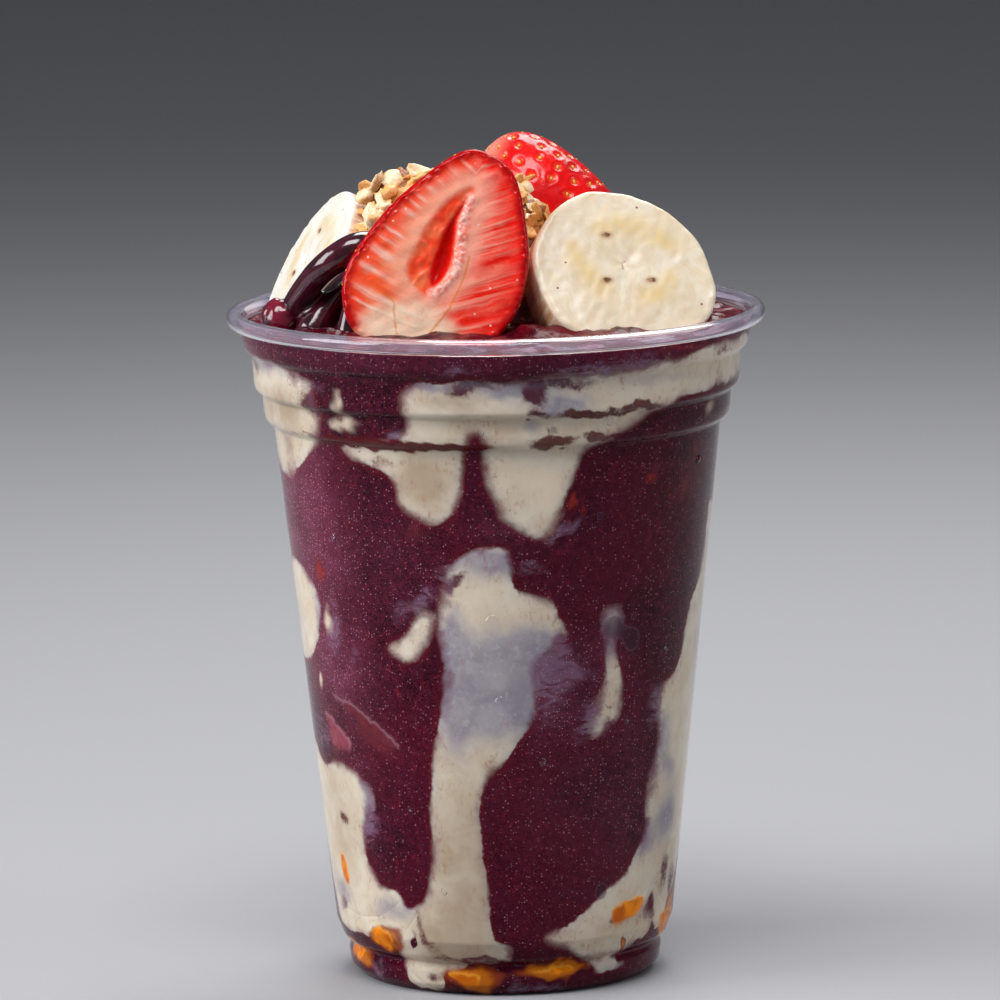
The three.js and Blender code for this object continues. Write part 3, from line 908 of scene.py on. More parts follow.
# Soft marks by name: angle, height, half width, half height, and strength and turn where they aren't 1 and 0.
DABS = {
    "film": [
        (-37, 14.2, 5.5, 2.6), (-48, 11.8, 6, 2.4), (-68, 10.5, 12, 3.6), (-30, 2.6, 6, 2.2, 0.9),
        (2.4, 8.2, 3.6, 2.2, 0.7, -30), (48, 3.4, 12, 2.2), (67, 13, 7, 5), (56, 9.6, 9, 2.6),
        (-33, 10.2, 2, 1.8, -1), (59, 2.6, 1.8, 1.2, -0.9), (41, 1.6, 2.4, 1, -0.9),
        (-22, 3, 2.4, 1.8, -0.7), (31, 3.6, 2, 1.4, -0.6), (-4, 79.2, 2.2, 1, -0.5, 20),
    ],
    "veil": [
        (-1, 81, 9, 3), (-4, 60.5, 11, 7.5, 1.1), (-2, 53, 8, 5, 0.8), (9, 66, 4, 3, 0.6),
        (-14, 52, 3, 9, 0.7), (10, 58, 5, 8, 0.9), (15.5, 109.8, 4.5, 2.2, 1.1), (-13, 68, 2, 6, 0.8),
        (-16, 113, 5, 1.2, 0.7), (3, 112.6, 6, 2, 0.9), (7, 105.4, 2, 1.4, 0.7), (40, 113, 8, 1.4, 0.5),
        (-60, 67, 3, 8, 0.8, 10), (32, 66, 3.4, 4, 0.9), (56, 47, 4, 5, 0.7, 60), (62, 40, 3, 5, 0.7, 60),
        (65, 30, 5, 5, 1, 50), (53, 27, 4, 3, 0.7, 50), (-72, 113.5, 12, 1.3, 0.7), (-48, 34, 2, 6, 0.9),
        (-40, 15.5, 7, 2.4, 0.7), (-70, 17, 5, 3, 0.8), (168, 52, 8, 9), (226, 60, 6, 10, 0.9),
        (160, 113, 20, 2, 0.8), (-88, 68, 8, 8, 0.5), (84, 60, 7, 14, 0.5), (48, 3, 10, 2, 0.6),
    ],
    "mist": [
        (13.5, 59, 3.4, 8, 0.9, 10), (18, 62, 3.4, 4, 0.6), (24, 60, 4, 2, 0.5, -10),
        (-22, 74, 3.4, 1.4, 0.8, 30), (-29, 71, 2, 2.2, 0.5), (32.4, 69, 2.6, 2.4, 0.8),
        (27, 52, 2.4, 3.4, 0.7, 30), (25, 48.6, 2.6, 1.4, 0.6, 40), (58, 33, 3, 5, 0.7),
        (52, 52, 2.4, 4, 0.8), (54, 40, 2.2, 4, 0.6), (-55, 67, 2.6, 7, 0.7), (-47, 62.6, 1.6, 1.6, 0.5, 30),
        (-15.4, 60, 1.2, 8, 0.5), (-14, 79, 2.4, 2.4, 0.6), (9, 79.6, 3.4, 1.4, 0.6),
        (-47.5, 33, 2.2, 6, 0.9), (-70, 46, 5, 3, 0.7), (-69, 15, 4, 2.6, 0.8), (-26.5, 103.8, 1.4, 1.4, 1),
        (17, 115.8, 4, 1, 0.7), (24, 116.2, 3, 1.4, 0.8), (35, 117, 4, 1.5, 0.8), (-8, 116.4, 3, 1, 0.6),
        (17.5, 86.6, 3.2, 0.9, 0.9, 35), (-52, 112, 5, 1.4, 0.6), (-56, 3.2, 2.4, 1.6, 0.9),
        (3, 2, 2, 2.2, 1), (15, 1.4, 6, 0.9, 0.8), (48, 8.4, 4, 1.2, 0.6), (152, 60, 5, 9, 0.6),
        (200, 50, 5, 8, 0.5), (248, 60, 5, 9, 0.6), (110, 60, 7, 16, 0.5),
    ],
    "stain": [
        (-47, 108.8, 4.6, 2.6, 1.2), (-45.5, 104, 2, 3, 1.1), (8.8, 111.4, 1.8, 1.8, 1.1),
        (16, 113.4, 6, 1.3, 0.8), (10.5, 108.2, 2.6, 0.8, 0.8), (13.4, 104.6, 1.3, 1.2, 0.7),
        (-9, 112.4, 2.6, 1.2, 0.8), (-13, 77.6, 3.2, 0.9, 1, 24), (66, 20, 2, 4, 0.8, -20),
        (75, 17, 3, 3.5, 0.7), (53, 5, 3, 1.2, 0.8), (-78, 113, 3, 2.4, 0.6), (-97, 104, 2.4, 6, 0.6),
        (170, 108, 5, 2, 0.6), (78, 4, 5, 2.4, 0.9), (-4, 113.8, 4, 0.9, 0.8), (-27, 3.6, 3, 1.4, 0.7),
        (41, 13.6, 2.2, 1.2, 1.1, 30), (-69, 14.6, 2.4, 1.6, 0.6), (62, 116.4, 5, 0.8, 0.6, -8),
    ],
    "rust": [
        (20, 108.1, 3.4, 0.9, 1.1), (25.5, 108, 2.6, 0.6, 1), (36.5, 108.4, 4.4, 0.9, 1.3),
        (64, 108.7, 8, 0.9, 1.1, 8), (13, 102.7, 3.8, 1, 1.3), (24.6, 103.3, 2, 0.9, 1.1),
        (31, 103, 4, 0.5, 0.9, 6), (-70, 94, 3, 5, 0.4), (18.4, 90, 1, 4, 0.8, -24),
        (33.6, 49.4, 2.2, 1.4, 0.9), (33.6, 53.2, 2.4, 0.7, 0.6), (-76, 79, 5, 2, 0.8, 10),
        (-32, 98.6, 7, 1.4, 0.5, 10), (60, 12, 3, 2, 0.6, 20), (-30, 14, 1.4, 5, 0.5, 20),
        (-62, 31.7, 1.6, 1.3, 0.9), (-8, 7.2, 9, 0.6, 0.9), (-56, 102.6, 7, 0.4, 0.6, 4),
        (-25, 9, 2, 4, 0.4, 50),
    ],
    # Painted shade: thin dark lines along the steps of the cup's bands.
    "seam": [
        (-36, 102.1, 9, 1, 1.3), (-24, 102.1, 8, 0.9, 1.2), (-10, 102.2, 7, 0.6, 0.8),
        (20, 107.6, 9, 0.3, 0.5),
    ],
    "ember": [
        (44, 94, 1.6, 1.6, 0.8), (19.6, 91.5, 0.7, 2.4, 1.1, -26), (22.5, 90.2, 1.3, 1.5, 0.6, -30),
        (-58, 77.3, 2, 2.2, 0.9, -10), (-48, 80.6, 0.7, 0.6, 0.6), (62, 98, 1, 1.6, 0.6),
        (34, 84, 0.6, 1.4, 0.6), (51, 91, 0.6, 1.6, 0.6), (140, 70, 1.2, 1.2, 0.7),
        (47, 118.2, 6, 0.5, 0.7, -8), (58, 90, 1.4, 5, 0.5), (66, 84, 1.2, 4, 0.4),
        (33, 96.4, 1.6, 1.2, 0.45), (48, 86, 1, 2.4, 0.4),
    ],
    # Painted shade: darker, duller cream where shade falls, as under the cup's bands.
    "dusk": [
        (-20, 95, 8, 7), (-10, 24, 14, 24, 0.9), (-8, 104.6, 10, 2.4, 0.5), (-20, 10, 12, 6, 0.6),
        (30, 104.6, 16, 2, 0.4), (40, 12, 12, 5, 0.5), (-62, 30, 10, 14, 0.6), (64, 22, 12, 12, 0.4),
        (170, 90, 12, 10, 0.7), (220, 30, 8, 14, 0.6), (-70, 104, 14, 6, 0.4), (-62, 108, 8, 4, 0.7),
        (-11, 110.5, 7, 3, 0.8),
    ],
    # Light spots: partly pale cream, partly a painted highlight on the purple.
    "pale": [
        (-66, 56, 0.8, 1.8, 1, -10), (-40.6, 105.3, 3, 1.4, 0.8), (-40.6, 109.4, 1.2, 2.2, 0.7),
        (-13.2, 74.8, 1.8, 0.8, 0.6), (65, 105.8, 2.6, 1.8, 0.5), (-87, 80, 2, 2.4), (13.6, 92, 2.4, 6, 0.7),
        (8, 96, 4, 4, 0.5), (-58, 68.5, 1.4, 3, 0.8),
    ],
    # Lighter, speckled purple, strongest at the left edge: partly frosty specks, partly a painted sheen of
    # the light from the left.
    "frost": [
        (-62, 95, 8, 9), (-66, 82, 8, 12), (-54, 80, 7, 9, 0.7), (-60, 62, 9, 10), (-50, 58, 6, 7, 0.6),
        (-50, 36, 4, 8, 0.6), (2, 87, 6, 3, 0.5), (-28, 80, 8, 8, 0.3), (14, 57, 6, 8, 0.7),
        (28, 60, 8, 10, 0.4), (34, 36, 16, 16, 0.35), (-30, 117.4, 40, 2.6, 0.25), (-80, 90, 8, 24, 1.2),
        (200, 60, 50, 40, 0.6),
    ],
    "amber": [
        (-12.5, 3.2, 7, 2.4, 1.1), (19.5, 4.7, 9, 1.3, 1.1), (-66, 4.6, 6, 1.8, 0.9),
        (-46, 9.8, 5, 2.6, 0.9), (46, 8.6, 0.8, 2.4, 0.8, 10), (76, 12, 5, 3.4, 0.9, 30),
    ],
    "blush": [
        (-41, 47.6, 6, 3, 1, -24), (-60, 44.4, 3.4, 3.4, 0.7), (-70, 100, 4, 8, 0.5), (-22, 86.4, 4, 2, 0.6),
        (60, 92, 8, 8, 0.5), (44, 96, 3, 2, 0.5),
    ],
    "mote": [
        (33.4, 67.8, 3.3, 3.1, 0.8), (40.4, 65, 2.2, 2.5, 1), (33.6, 18.9, 1.9, 1.9, 1),
        (40.5, 69.6, 0.7, 0.7, 1), (27.6, 88.6, 0.9, 0.9, 1), (7.4, 107.2, 0.55, 0.5, 1),
    ],
}


class WallPaint:
    """What shows through the clear wall: cream, its veils and the marks round it."""

    def __init__(self) -> None:
        """Rounds the streaks' outlines, in unrolled millimetres."""
        scale = np.array([UNROLLED, 1.0])
        self.outlines = {name: flowing_line(given, 5) * scale for name, given in STREAKS.items()}

    def edge(self, flat: Array) -> Array:
        """Measures the distance to the nearest cream.

        Args:
            flat: Unrolled points, one row each.

        Returns:
            Distances, negative inside the cream.
        """
        reach = 7.0
        nearest = np.full(len(flat), reach)
        for outline in self.outlines.values():
            low, high = outline.min(0) - reach, outline.max(0) + reach
            for shift in (-360, 0, 360):
                moved = flat + [shift * UNROLLED, 0]
                close = ((moved > low) & (moved < high)).all(axis=1)
                if close.any():
                    nearest[close] = np.minimum(nearest[close], outline_distance(moved[close], outline))
        return nearest

    def marks(self, angle: Array, height: Array) -> dict[str, Array]:
        """Works out every mark at points on the wall.

        Args:
            angle: Degrees from the front.
            height: Height above the table.

        Returns:
            The marks by name.
        """
        around = WALL.place(angle, height, 0.0)
        flat = np.stack([angle * UNROLLED, height], axis=1)
        sway = np.stack([ripple(around, 7.0, 21), ripple(around, 7.0, 22)], axis=1)
        curl = np.stack([ripple(around, 2.2, 23), ripple(around, 2.2, 24)], axis=1)
        shifted = flat + 0.2 * sway + 0.05 * curl
        found = {"edge": self.edge(shifted)}
        for name, rows in DABS.items():
            firm = name in ("seam", "mote")
            loosened = flat + (0.0 if firm else 0.35) * sway + (0.0 if name == "mote" else 0.2) * curl
            found[name] = np.clip(sum(Dab(*row).cover(loosened) for row in rows), -1.2, 1.2)
        return found


def stamp(mesh: Mesh, marks: dict[str, Array]) -> None:
    """Writes plain marks on the points of a mesh.

    Args:
        mesh: The mesh.
        marks: One value for each point, by name.
    """
    for name, values in marks.items():
        layer = mesh.attributes.new(name, "FLOAT", "POINT")
        layer.data.foreach_set("value", values.astype(np.float32))


def read_points(mesh: Mesh) -> Array:
    """Reads a mesh's points.

    Args:
        mesh: The mesh.

    Returns:
        The points in millimetres, one row each.
    """
    flat = np.zeros(len(mesh.vertices) * 3, np.float32)
    mesh.vertices.foreach_get("co", flat)
    return flat.reshape(-1, 3).astype(float) / MM


def write_points(mesh: Mesh, points: Array) -> None:
    """Moves a mesh's points to places in millimetres."""
    mesh.vertices.foreach_set("co", (points * MM).astype(np.float32).ravel())
    mesh.update()


def turned_mesh(name: str, profile: Array, sides: int, material: Material) -> Mesh:
    """Turns a profile round the Z axis.

    Args:
        name: The mesh's name.
        profile: Radius and height of each point, in order from axis to axis.
        sides: How many steps go round.
        material: The finish.

    Returns:
        A closed mesh whose faces point outwards.
    """
    base = bpy.data.meshes.new(name + "_profile")
    co = np.stack([profile[:, 0], 0 * profile[:, 0], profile[:, 1]], axis=1) * MM
    base.from_pydata(co.tolist(), [(k, k + 1) for k in range(len(co) - 1)], [])
    mesh = lathe_tree().run(name, base, {"Sides": sides, "Material": material})
    mesh.materials.clear()
    mesh.materials.append(material)
    mesh.polygons.foreach_set("material_index", np.zeros(len(mesh.polygons), np.int32))
    mesh.calc_loop_triangles()
    points = read_points(mesh)
    corners = np.zeros(len(mesh.loop_triangles) * 3, np.int32)
    mesh.loop_triangles.foreach_get("vertices", corners)
    if Shape(points, [corners.reshape(-1, 3)]).volume() < 0:
        mesh.flip_normals()
    for layer in list(mesh.uv_layers):
        mesh.uv_layers.remove(layer)
    return mesh


# ---- finishes


@dataclass(frozen=True)
class MarbledFinish:
    """Acai puree and cream as they show through the wall, with some painted shade, sheen and highlight."""

    wine: Colour = shade(66, 3, 24)
    deep: Colour = shade(34, 0, 14)
    violet: Colour = shade(62, 8, 34)
    grain: Colour = shade(86, 16, 38)
    frost: Colour = shade(118, 54, 78)
    halo: Colour = shade(92, 12, 18)
    ivory: Colour = shade(216, 206, 187)
    warm: Colour = shade(207, 191, 167)
    bluish: Colour = shade(152, 146, 156)
    lilac: Colour = shade(122, 90, 114)
    dusk: Colour = shade(158, 136, 112)
    stain: Colour = shade(76, 18, 38)
    rust: Colour = shade(86, 12, 18)
    ember: Colour = shade(144, 36, 22)
    amber: Colour = shade(196, 108, 10)
    speck: Colour = shade(214, 160, 176)

    def colour(self, g: ShaderGraph) -> Socket:
        """Works out the colour from the wall paint's marks.

        Args:
            g: The graph.

        Returns:
            The colour.
        """
        place = g.place()
        middle, fine = g.noise(place, 5.5, 3, 0.55, 0.4), g.noise(place, 1.2, 3, 0.65)
        loose = g.plus(g.times(middle, 1.5), 0.25)
        wisps = g.noise(g.stretch(place, (0.5, 0.5, 1.3)), 2.4, 3, 0.6, 1.2)
        mist = g.times(g.times(g.mark("mist"), loose), g.rise(wisps, 0.34, 0.6, 0.4, 1.3))
        wobble = g.plus(g.times(middle, 1.3), g.times(fine, 0.9))
        edge = g.plus(g.mark("edge"), g.less(wobble, 1.1))
        edge = g.less(edge, g.times(g.mark("film"), 5.0))
        broad = g.rise(g.noise(place, 11, 2), 0.4, 0.62, 0.3, 1.5)
        width = g.plus(g.times(mist, 5.0), g.times(broad, g.plus(fine, 0.5)))
        away = g.math("DIVIDE", edge, width)
        part = g.rise(away, -0.9, 0.7, 1.0, 0.0)
        cream = self.cream(g, place, middle, fine, edge)
        fringe = g.rise(g.plus(edge, g.times(middle, 2.6)), -0.9, 1.6, 0.0, 1.0)
        fringe = g.times(fringe, g.rise(g.plus(mist, g.mark("veil")), 0.0, 0.7, 0.3, 0.85))
        cream = g.mix(fringe, cream, g.mix(g.rise(middle, 0.4, 0.6), self.bluish, self.lilac))
        wall = g.mix(part, self.puree(g, place, middle, mist, edge), cream)
        patchy, grainy = g.plus(middle, 0.5), g.plus(fine, 0.5)
        amber = g.rise(g.times(g.mark("amber"), patchy), 0.45, 0.75)
        layers = (
            # The pale layer is partly pale cream, partly a painted highlight.
            ("pale", loose, 0.15, 0.95, 0.85, shade(226, 208, 184)),
            ("amber", patchy, 0.25, 0.5, 0.9, g.mix(amber, shade(132, 52, 20), self.amber)),
            ("blush", loose, 0.1, 0.9, 0.75, shade(104, 36, 44)),
            # Painted shade along the bands' steps.
            ("seam", loose, 0.15, 0.7, 0.95, self.rust),
            ("ember", grainy, 0.2, 0.95, 0.85, self.ember),
        )
        for name, uneven, low, high, most, colour in layers:
            wall = g.over(wall, colour, g.times(g.mark(name), uneven), low, high, 0, most)
        mote = g.mark("mote")
        spots = g.mix(g.rise(mote, 0.5, 0.7), shade(92, 62, 78), shade(52, 30, 42))
        return g.mix(g.rise(mote, 0.46, 0.54, 0, 0.6), wall, spots)

    def puree(self, g: ShaderGraph, place: object, middle: object, mist: object, edge: object) -> object:
        """Makes the puree's colour.

        Args:
            g: The graph.
            place: Where it is read.
            middle: Noise in patches.
            mist: How milky it is.
            edge: Distance from the cream in millimetres.

        Returns:
            The colour.
        """
        soft = g.noise(place, 1.3, 3, 0.6, 0.5)
        # A lighter, more speckled purple: partly frosty specks, partly a painted sheen of the light from the
        # left.
        frost = g.times(g.mark("frost"), g.rise(middle, 0.3, 0.65, 0.5, 1.0))
        base = g.mix(g.rise(g.noise(place, 24, 2), 0.38, 0.62), self.deep, self.wine)
        base = g.over(base, self.violet, middle, 0.42, 0.72, 0, 0.5)
        base = g.over(base, self.halo, edge, 0.2, 1.6, 0.65, 0.0)
        tiny = g.noise(place, 0.42, 2, 0.7)
        base = g.over(base, self.grain, soft, 0.42, 0.66, 0, 0.6)
        base = g.over(base, self.grain, tiny, 0.42, 0.72, 0, 0.65)
        base = g.mix(g.times(frost, g.rise(tiny, 0.3, 0.66, 0.3, 0.85)), base, self.frost)
        milky = g.times(g.rise(mist, 0.1, 1.0, 0, 0.85), g.rise(soft, 0.3, 0.6, 0.65, 1.0))
        base = g.mix(milky, base, self.lilac)
        fibres = g.noise(place, 1.9, 2, 0.5, 1.6)
        base = g.over(base, shade(130, 30, 38), fibres, 0.6, 0.72, 0, 0.35)
        near, hue = g.cells(place, 0.45)
        lit = g.rise(g.plus(g.split(hue)[0], g.times(frost, 0.4)), 0.62, 1.0)
        dots = g.times(g.rise(near, 0.06, 0.32, 0.85, 0.0), lit)
        return g.mix(dots, base, self.speck)

    def cream(self, g: ShaderGraph, place: object, middle: object, fine: object, edge: object) -> object:
        """Makes the cream's colour, with its veils, stains and painted shade.

        Args:
            g: The graph.
            place: Where it is read.
            middle: Noise in patches.
            fine: Noise in grains.
            edge: Distance from its border, negative inside.

        Returns:
            The colour.
        """
        loose = g.plus(g.times(middle, 1.0), 0.5)
        base = g.mix(g.rise(middle, 0.3, 0.7), self.ivory, self.warm)
        # Painted shade darkens the cream under its mark.
        base = g.over(base, self.dusk, g.times(g.mark("dusk"), loose), 0.0, 1.1, 0, 0.75)
        veil = g.mix(g.rise(middle, 0.35, 0.65), shade(132, 124, 138), shade(158, 152, 160))
        veil = g.over(veil, shade(184, 180, 184), fine, 0.5, 0.75, 0, 0.5)
        base = g.over(base, veil, g.times(g.mark("veil"), loose), 0.05, 0.95, 0, 0.9)
        smears = g.noise(g.stretch(place, (1.0, 1.0, 0.5)), 0.8, 3, 0.7)
        near = g.rise(edge, -6.0, -0.6, 0.12, 0.75)
        smears = g.times(g.rise(smears, 0.52, 0.7, 0, 0.8), g.rise(middle, 0.36, 0.6))
        base = g.mix(g.times(smears, near), base, shade(150, 88, 74))
        tiny = g.noise(place, 0.4, 2, 0.7)
        grit = g.plus(g.times(fine, 1.6), g.times(tiny, 0.9))
        frayed = g.plus(loose, g.less(grit, 1.2))
        stain = g.rise(g.times(g.mark("stain"), frayed), 0.2, 0.85, 0, 0.95)
        base = g.mix(stain, base, self.stain)
        rust = g.rise(g.times(g.mark("rust"), g.less(grit, 0.2)), 0.25, 0.75, 0, 0.92)
        return g.mix(rust, base, g.mix(g.rise(tiny, 0.35, 0.7), shade(66, 8, 16), shade(106, 28, 30)))

    @cache
    def build(self) -> Material:
        """Wires the nodes, once for the puree and the cream.

        Returns:
            The material.
        """
        g = ShaderGraph("marbled_puree")
        return g.finish(self.colour(g), 0.6, Specular_IOR_Level=0.0)


@dataclass(frozen=True)
class WetTopFinish:
    """The open top of the puree: wine red, grainy and wet."""

    red: Colour = shade(98, 8, 22)
    deep: Colour = shade(52, 4, 18)
    pale: Colour = shade(124, 34, 50)

    def build(self) -> Material:
        """Wires the nodes.

        Returns:
            The material.
        """
        g = ShaderGraph("wet_puree")
        place = g.place()
        middle, fine = g.noise(place, 5, 3, 0.55, 0.4), g.noise(place, 0.9, 3, 0.6)
        base = g.mix(g.rise(middle, 0.35, 0.68), self.red, self.deep)
        base = g.over(base, self.pale, fine, 0.5, 0.75, 0, 0.5)
        relief = g.plus(fine, middle)
        return g.finish(base, 0.12, g.bump(relief, 0.12), Specular_IOR_Level=0.22)


@dataclass(frozen=True)
class ClearFinish:
    """Clear plastic or water that lets the lamps' light through.

    Attributes:
        name: The material's name.
        bend: Its index of refraction.
        clear: How much of it is clear, the rest being milky.
        tint: Its colour.
        relief: Depth of its faint unevenness.
        shine: How strongly it mirrors, 0.5 being plain.
    """

    name: str = "clear_plastic"
    bend: float = 1.22
    clear: float = 1.0
    tint: Colour = shade(248, 249, 252)
    relief: float = 0.1
    shine: float = 0.14

    def build(self) -> Material:
        """Wires the nodes.

        Returns:
            The material.
        """
        g = ShaderGraph(self.name)
        waves = g.noise(g.stretch(g.place(), (1.0, 1.0, 0.25)), 9, 1)
        shader = g.principled(
            self.tint, 0.05, g.bump(waves, self.relief), Transmission_Weight=self.clear, IOR=self.bend,
            Specular_IOR_Level=self.shine,
        )
        open_way = g.node("ShaderNodeBsdfTransparent", {"Color": shade(244, 245, 250)})
        shadow = g.node("ShaderNodeLightPath").outputs["Is Shadow Ray"]
        switch = g.node("ShaderNodeMixShader", {0: shadow, 1: shader, 2: open_way.outputs[0]})
        return g.ends_in(switch.outputs[0])


@dataclass(frozen=True)
class SunkFinish:
    """A piece of fruit seen through the wall, with puree and cream lapping over its rim and a painted
    highlight inside its upper rim.

    Attributes:
        name: The material's name.
        bright: Its main colour.
        dark: Its darker, deeper colour.
        line: The colour of the painted highlight inside its upper rim.
        lap: How far the puree laps over it.
        glow: How far that painted highlight spreads inwards from the upper rim.
        depth: How strongly the puree veils its middle.
    """

    name: str
    bright: Colour
    dark: Colour
    line: Colour
    lap: float = 0.8
    glow: float = 0.7
    depth: float = 0.0

    def build(self) -> Material:
        """Wires the nodes, which read the patch's own rim mark.

        Returns:
            The material.
        """
        g = ShaderGraph(self.name)
        place = g.place()
        fine, middle = g.noise(place, 1.2, 3, 0.6), g.noise(place, 3.6, 3, 0.55, 0.5)
        base = g.mix(g.rise(middle, 0.36, 0.66), self.dark, self.bright)
        wobble = g.times(g.less(middle, 0.5), 3.0)
        rim = g.plus(g.mark("rim"), wobble)
        rim = g.plus(rim, g.less(fine, 0.5))
        # Painted highlight: a lighter line just inside the upper rim.
        lead = g.mark("lead")
        line = g.times(g.rise(rim, self.lap, self.lap + self.glow, 0.8, 0.0), lead)
        base = g.mix(line, base, self.line)
        lap = g.less(rim, g.times(g.less(1.0, lead), self.lap))
        base = g.over(base, MarbledFinish().colour(g), lap, 0.0, self.lap + 0.5, 1.0, self.depth)
        return g.finish(base, 0.5, g.bump(fine, 0.05), Specular_IOR_Level=0.02)


# ---- the cup and what fills it


@dataclass
class Cup:
    """The clear cup: foot, tapered wall, stepped bands and a thin rim curled outwards.

    Attributes:
        sides: Steps round the cup.
        recess: Radius and height of the raised floor's underside.
        curl: Radius of the curl's section.
        rim: Radius and height of the curl's middle.
        rim_low: Height above which the rim's milkier finish starts.
    """

    sides: int = 192
    recess: Pair = (21.5, 2.0)
    curl: float = 1.5
    rim: Pair = (47.35, 120.72)
    rim_low: float = 119.7

    def bead(self, size: float, start: float, end: float, count: int) -> list:
        """Returns points round the rim's curl, from one angle in degrees to another."""
        turns = np.radians(np.linspace(start, end, count))
        return [(self.rim[0] + size * math.cos(a), self.rim[1] + size * math.sin(a)) for a in turns]

    def profile(self) -> Array:
        """Draws the closed section of the wall.

        Returns:
            Radius and height of each point, from axis to axis.
        """
        heights = WALL.rows(0.4, 118.9)
        under = [(0, self.recess[1]), (self.recess[0] - 1, self.recess[1]), (self.recess[0] + 0.6, 1.6)]
        under += [(23.4, 0.3), (24.2, 0.0), (25.9, 0.0), (26.4, 0.12)]
        outer = [(float(WALL.radius(z)), float(z)) for z in heights]
        outer += [(46.5, 119.6), (46.42, 120.3)]
        skin = WALL_THICK * 0.75
        hollow = self.bead(self.curl - skin, 165, -75, 14)
        shell = self.bead(self.curl, -75, 175, 22)
        inner = [(45.85, 119.9)]
        inner += [(float(WALL.radius(z)) - WALL_THICK, float(z)) for z in heights[::-1] if z > 1.0]
        floor = [(26.4, 0.7), (24.7, 0.7), (23.3, 2.0), (22.2, FLOOR_TOP), (0, FLOOR_TOP)]
        return np.array(under + outer + hollow + shell + inner + floor, float)

    def build(self) -> None:
        """Adds the cup, in clear plastic below and milkier plastic at its rim."""
        plastic = ClearFinish().build()
        milky = ClearFinish("rim_plastic", 1.4, 0.96, shade(246, 240, 253), 0.05, 0.6).build()
        mesh = turned_mesh("clear_cup", self.profile(), self.sides, plastic)
        mesh.materials.append(milky)
        heights = np.array([polygon.center.z for polygon in mesh.polygons]) / MM
        mesh.polygons.foreach_set("material_index", (heights > self.rim_low).astype(np.int32))
        add_piece("clear_cup", mesh, plastic, ["cup"])


@dataclass
class Puree:
    """The puree that fills the cup, out to just inside the wall, and its wet, uneven top.

    Attributes:
        paint: The marks that show at the wall.
        sides: Steps round the cup.
        inset: How far inside the outer wall it ends.
        recess: How far it draws back behind a streak of cream.
        mound: Middle, half width, half depth and rise of the mound under the fruit.
        banks: Start, end, spread and lift of each ridge of puree pressed up round the fruit.
    """

    paint: WallPaint
    sides: int = 384
    inset: float = PUREE_INSET
    recess: float = 0.9
    mound: tuple = (-3.0, 9.0, 25.0, 23.0, 9.0)
    banks: tuple = (
        ((-31, -27), (4, -24), 2.6, 0.6), ((8, -25), (42, -16), 3.2, 1.9),
        ((-38, -6), (-37, 16), 3.0, 1.6), ((-33, -22), (-26, -24), 3.4, 1.2),
        ((22, 8), (28, 20), 6.0, 3.0),
    )

    def top(self, x: Array, y: Array) -> Array:
        """Shapes the puree's upper surface.

        Args:
            x: How far each point is to the right.
            y: How far each point is to the back.

        Returns:
            The height of each point.
        """
        cx, cy, wide, deep, rise = self.mound
        reach = ((x - cx) / wide) ** 2 + ((y - cy) / deep) ** 2
        brim = WALL.radius(np.array(FILL_LEVEL)) - self.inset - np.hypot(x, y)
        height = FILL_LEVEL - 0.2 + 0.8 * smooth(0.3, 3.0, brim) + rise * smooth(1.25, 0.0, reach)
        flat = np.stack([x, y], axis=1)
        for start, end, spread, lift in self.banks:
            a, run = np.array(start, float), np.array(end, float) - np.array(start, float)
            part = np.clip((flat - a) @ run / (run @ run), 0, 1)
            gap = np.linalg.norm(flat - a - part[:, None] * run, axis=1)
            height += lift * np.exp(-((gap / spread) ** 2))
        calm = smooth(0, 5, WALL.radius(np.array(FILL_LEVEL)) - np.hypot(x, y))
        waves = 0.42 * ripple(flat, 9.0, 31) + 0.12 * ripple(flat, 3.4, 32) + 0.03 * ripple(flat, 1.5, 33)
        return height + waves * (0.25 + 0.75 * calm)

    def build(self) -> None:
        """Adds the puree, its top raised and its wall drawn back behind the cream."""
        marbled = MarbledFinish().build()
        heights = WALL.rows(0.6, FILL_LEVEL)
        wall = np.stack([WALL.radius(heights) - self.inset, heights], axis=1)
        shelf = wall[-1, 0]
        inner = np.concatenate([shelf - np.array([0.5, 1.1, 1.8]), np.linspace(shelf - 2.6, 0, 38)])
        under = FLOOR_TOP - 0.15
        floor = [(0, under), (14, under), (22.1, under), (23.2, 1.8), (24.6, 0.55)]
        surface = np.stack([inner, np.full(len(inner), FILL_LEVEL)], axis=1)
        profile = np.vstack([floor, wall, surface])
        mesh = turned_mesh("acai_puree", profile, self.sides, marbled)
        points = read_points(mesh)
        radius = np.hypot(points[:, 0], points[:, 1])
        angle = np.degrees(np.arctan2(points[:, 0], -points[:, 1]))
        is_top = (points[:, 2] > FILL_LEVEL - TOP_EDGE) & (radius < shelf - 0.2)
        marks = self.paint.marks(angle, points[:, 2])
        back = self.recess * smooth(0.3, -1.2, marks["edge"]) * ~is_top
        points[:, :2] *= (1 - back / np.maximum(radius, 1))[:, None]
        points[is_top, 2] = self.top(points[is_top, 0], points[is_top, 1])
        write_points(mesh, points)
        stamp(mesh, marks)
        mesh.materials.append(WetTopFinish().build())
        first = np.zeros(len(mesh.polygons), np.int32)
        mesh.polygons.foreach_get("loop_start", first)
        corners = np.zeros(len(mesh.loops), np.int32)
        mesh.loops.foreach_get("vertex_index", corners)
        mesh.polygons.foreach_set("material_index", is_top[corners[first + 1]].astype(np.int32))
        add_piece("acai_puree", mesh, marbled, ["acai"])


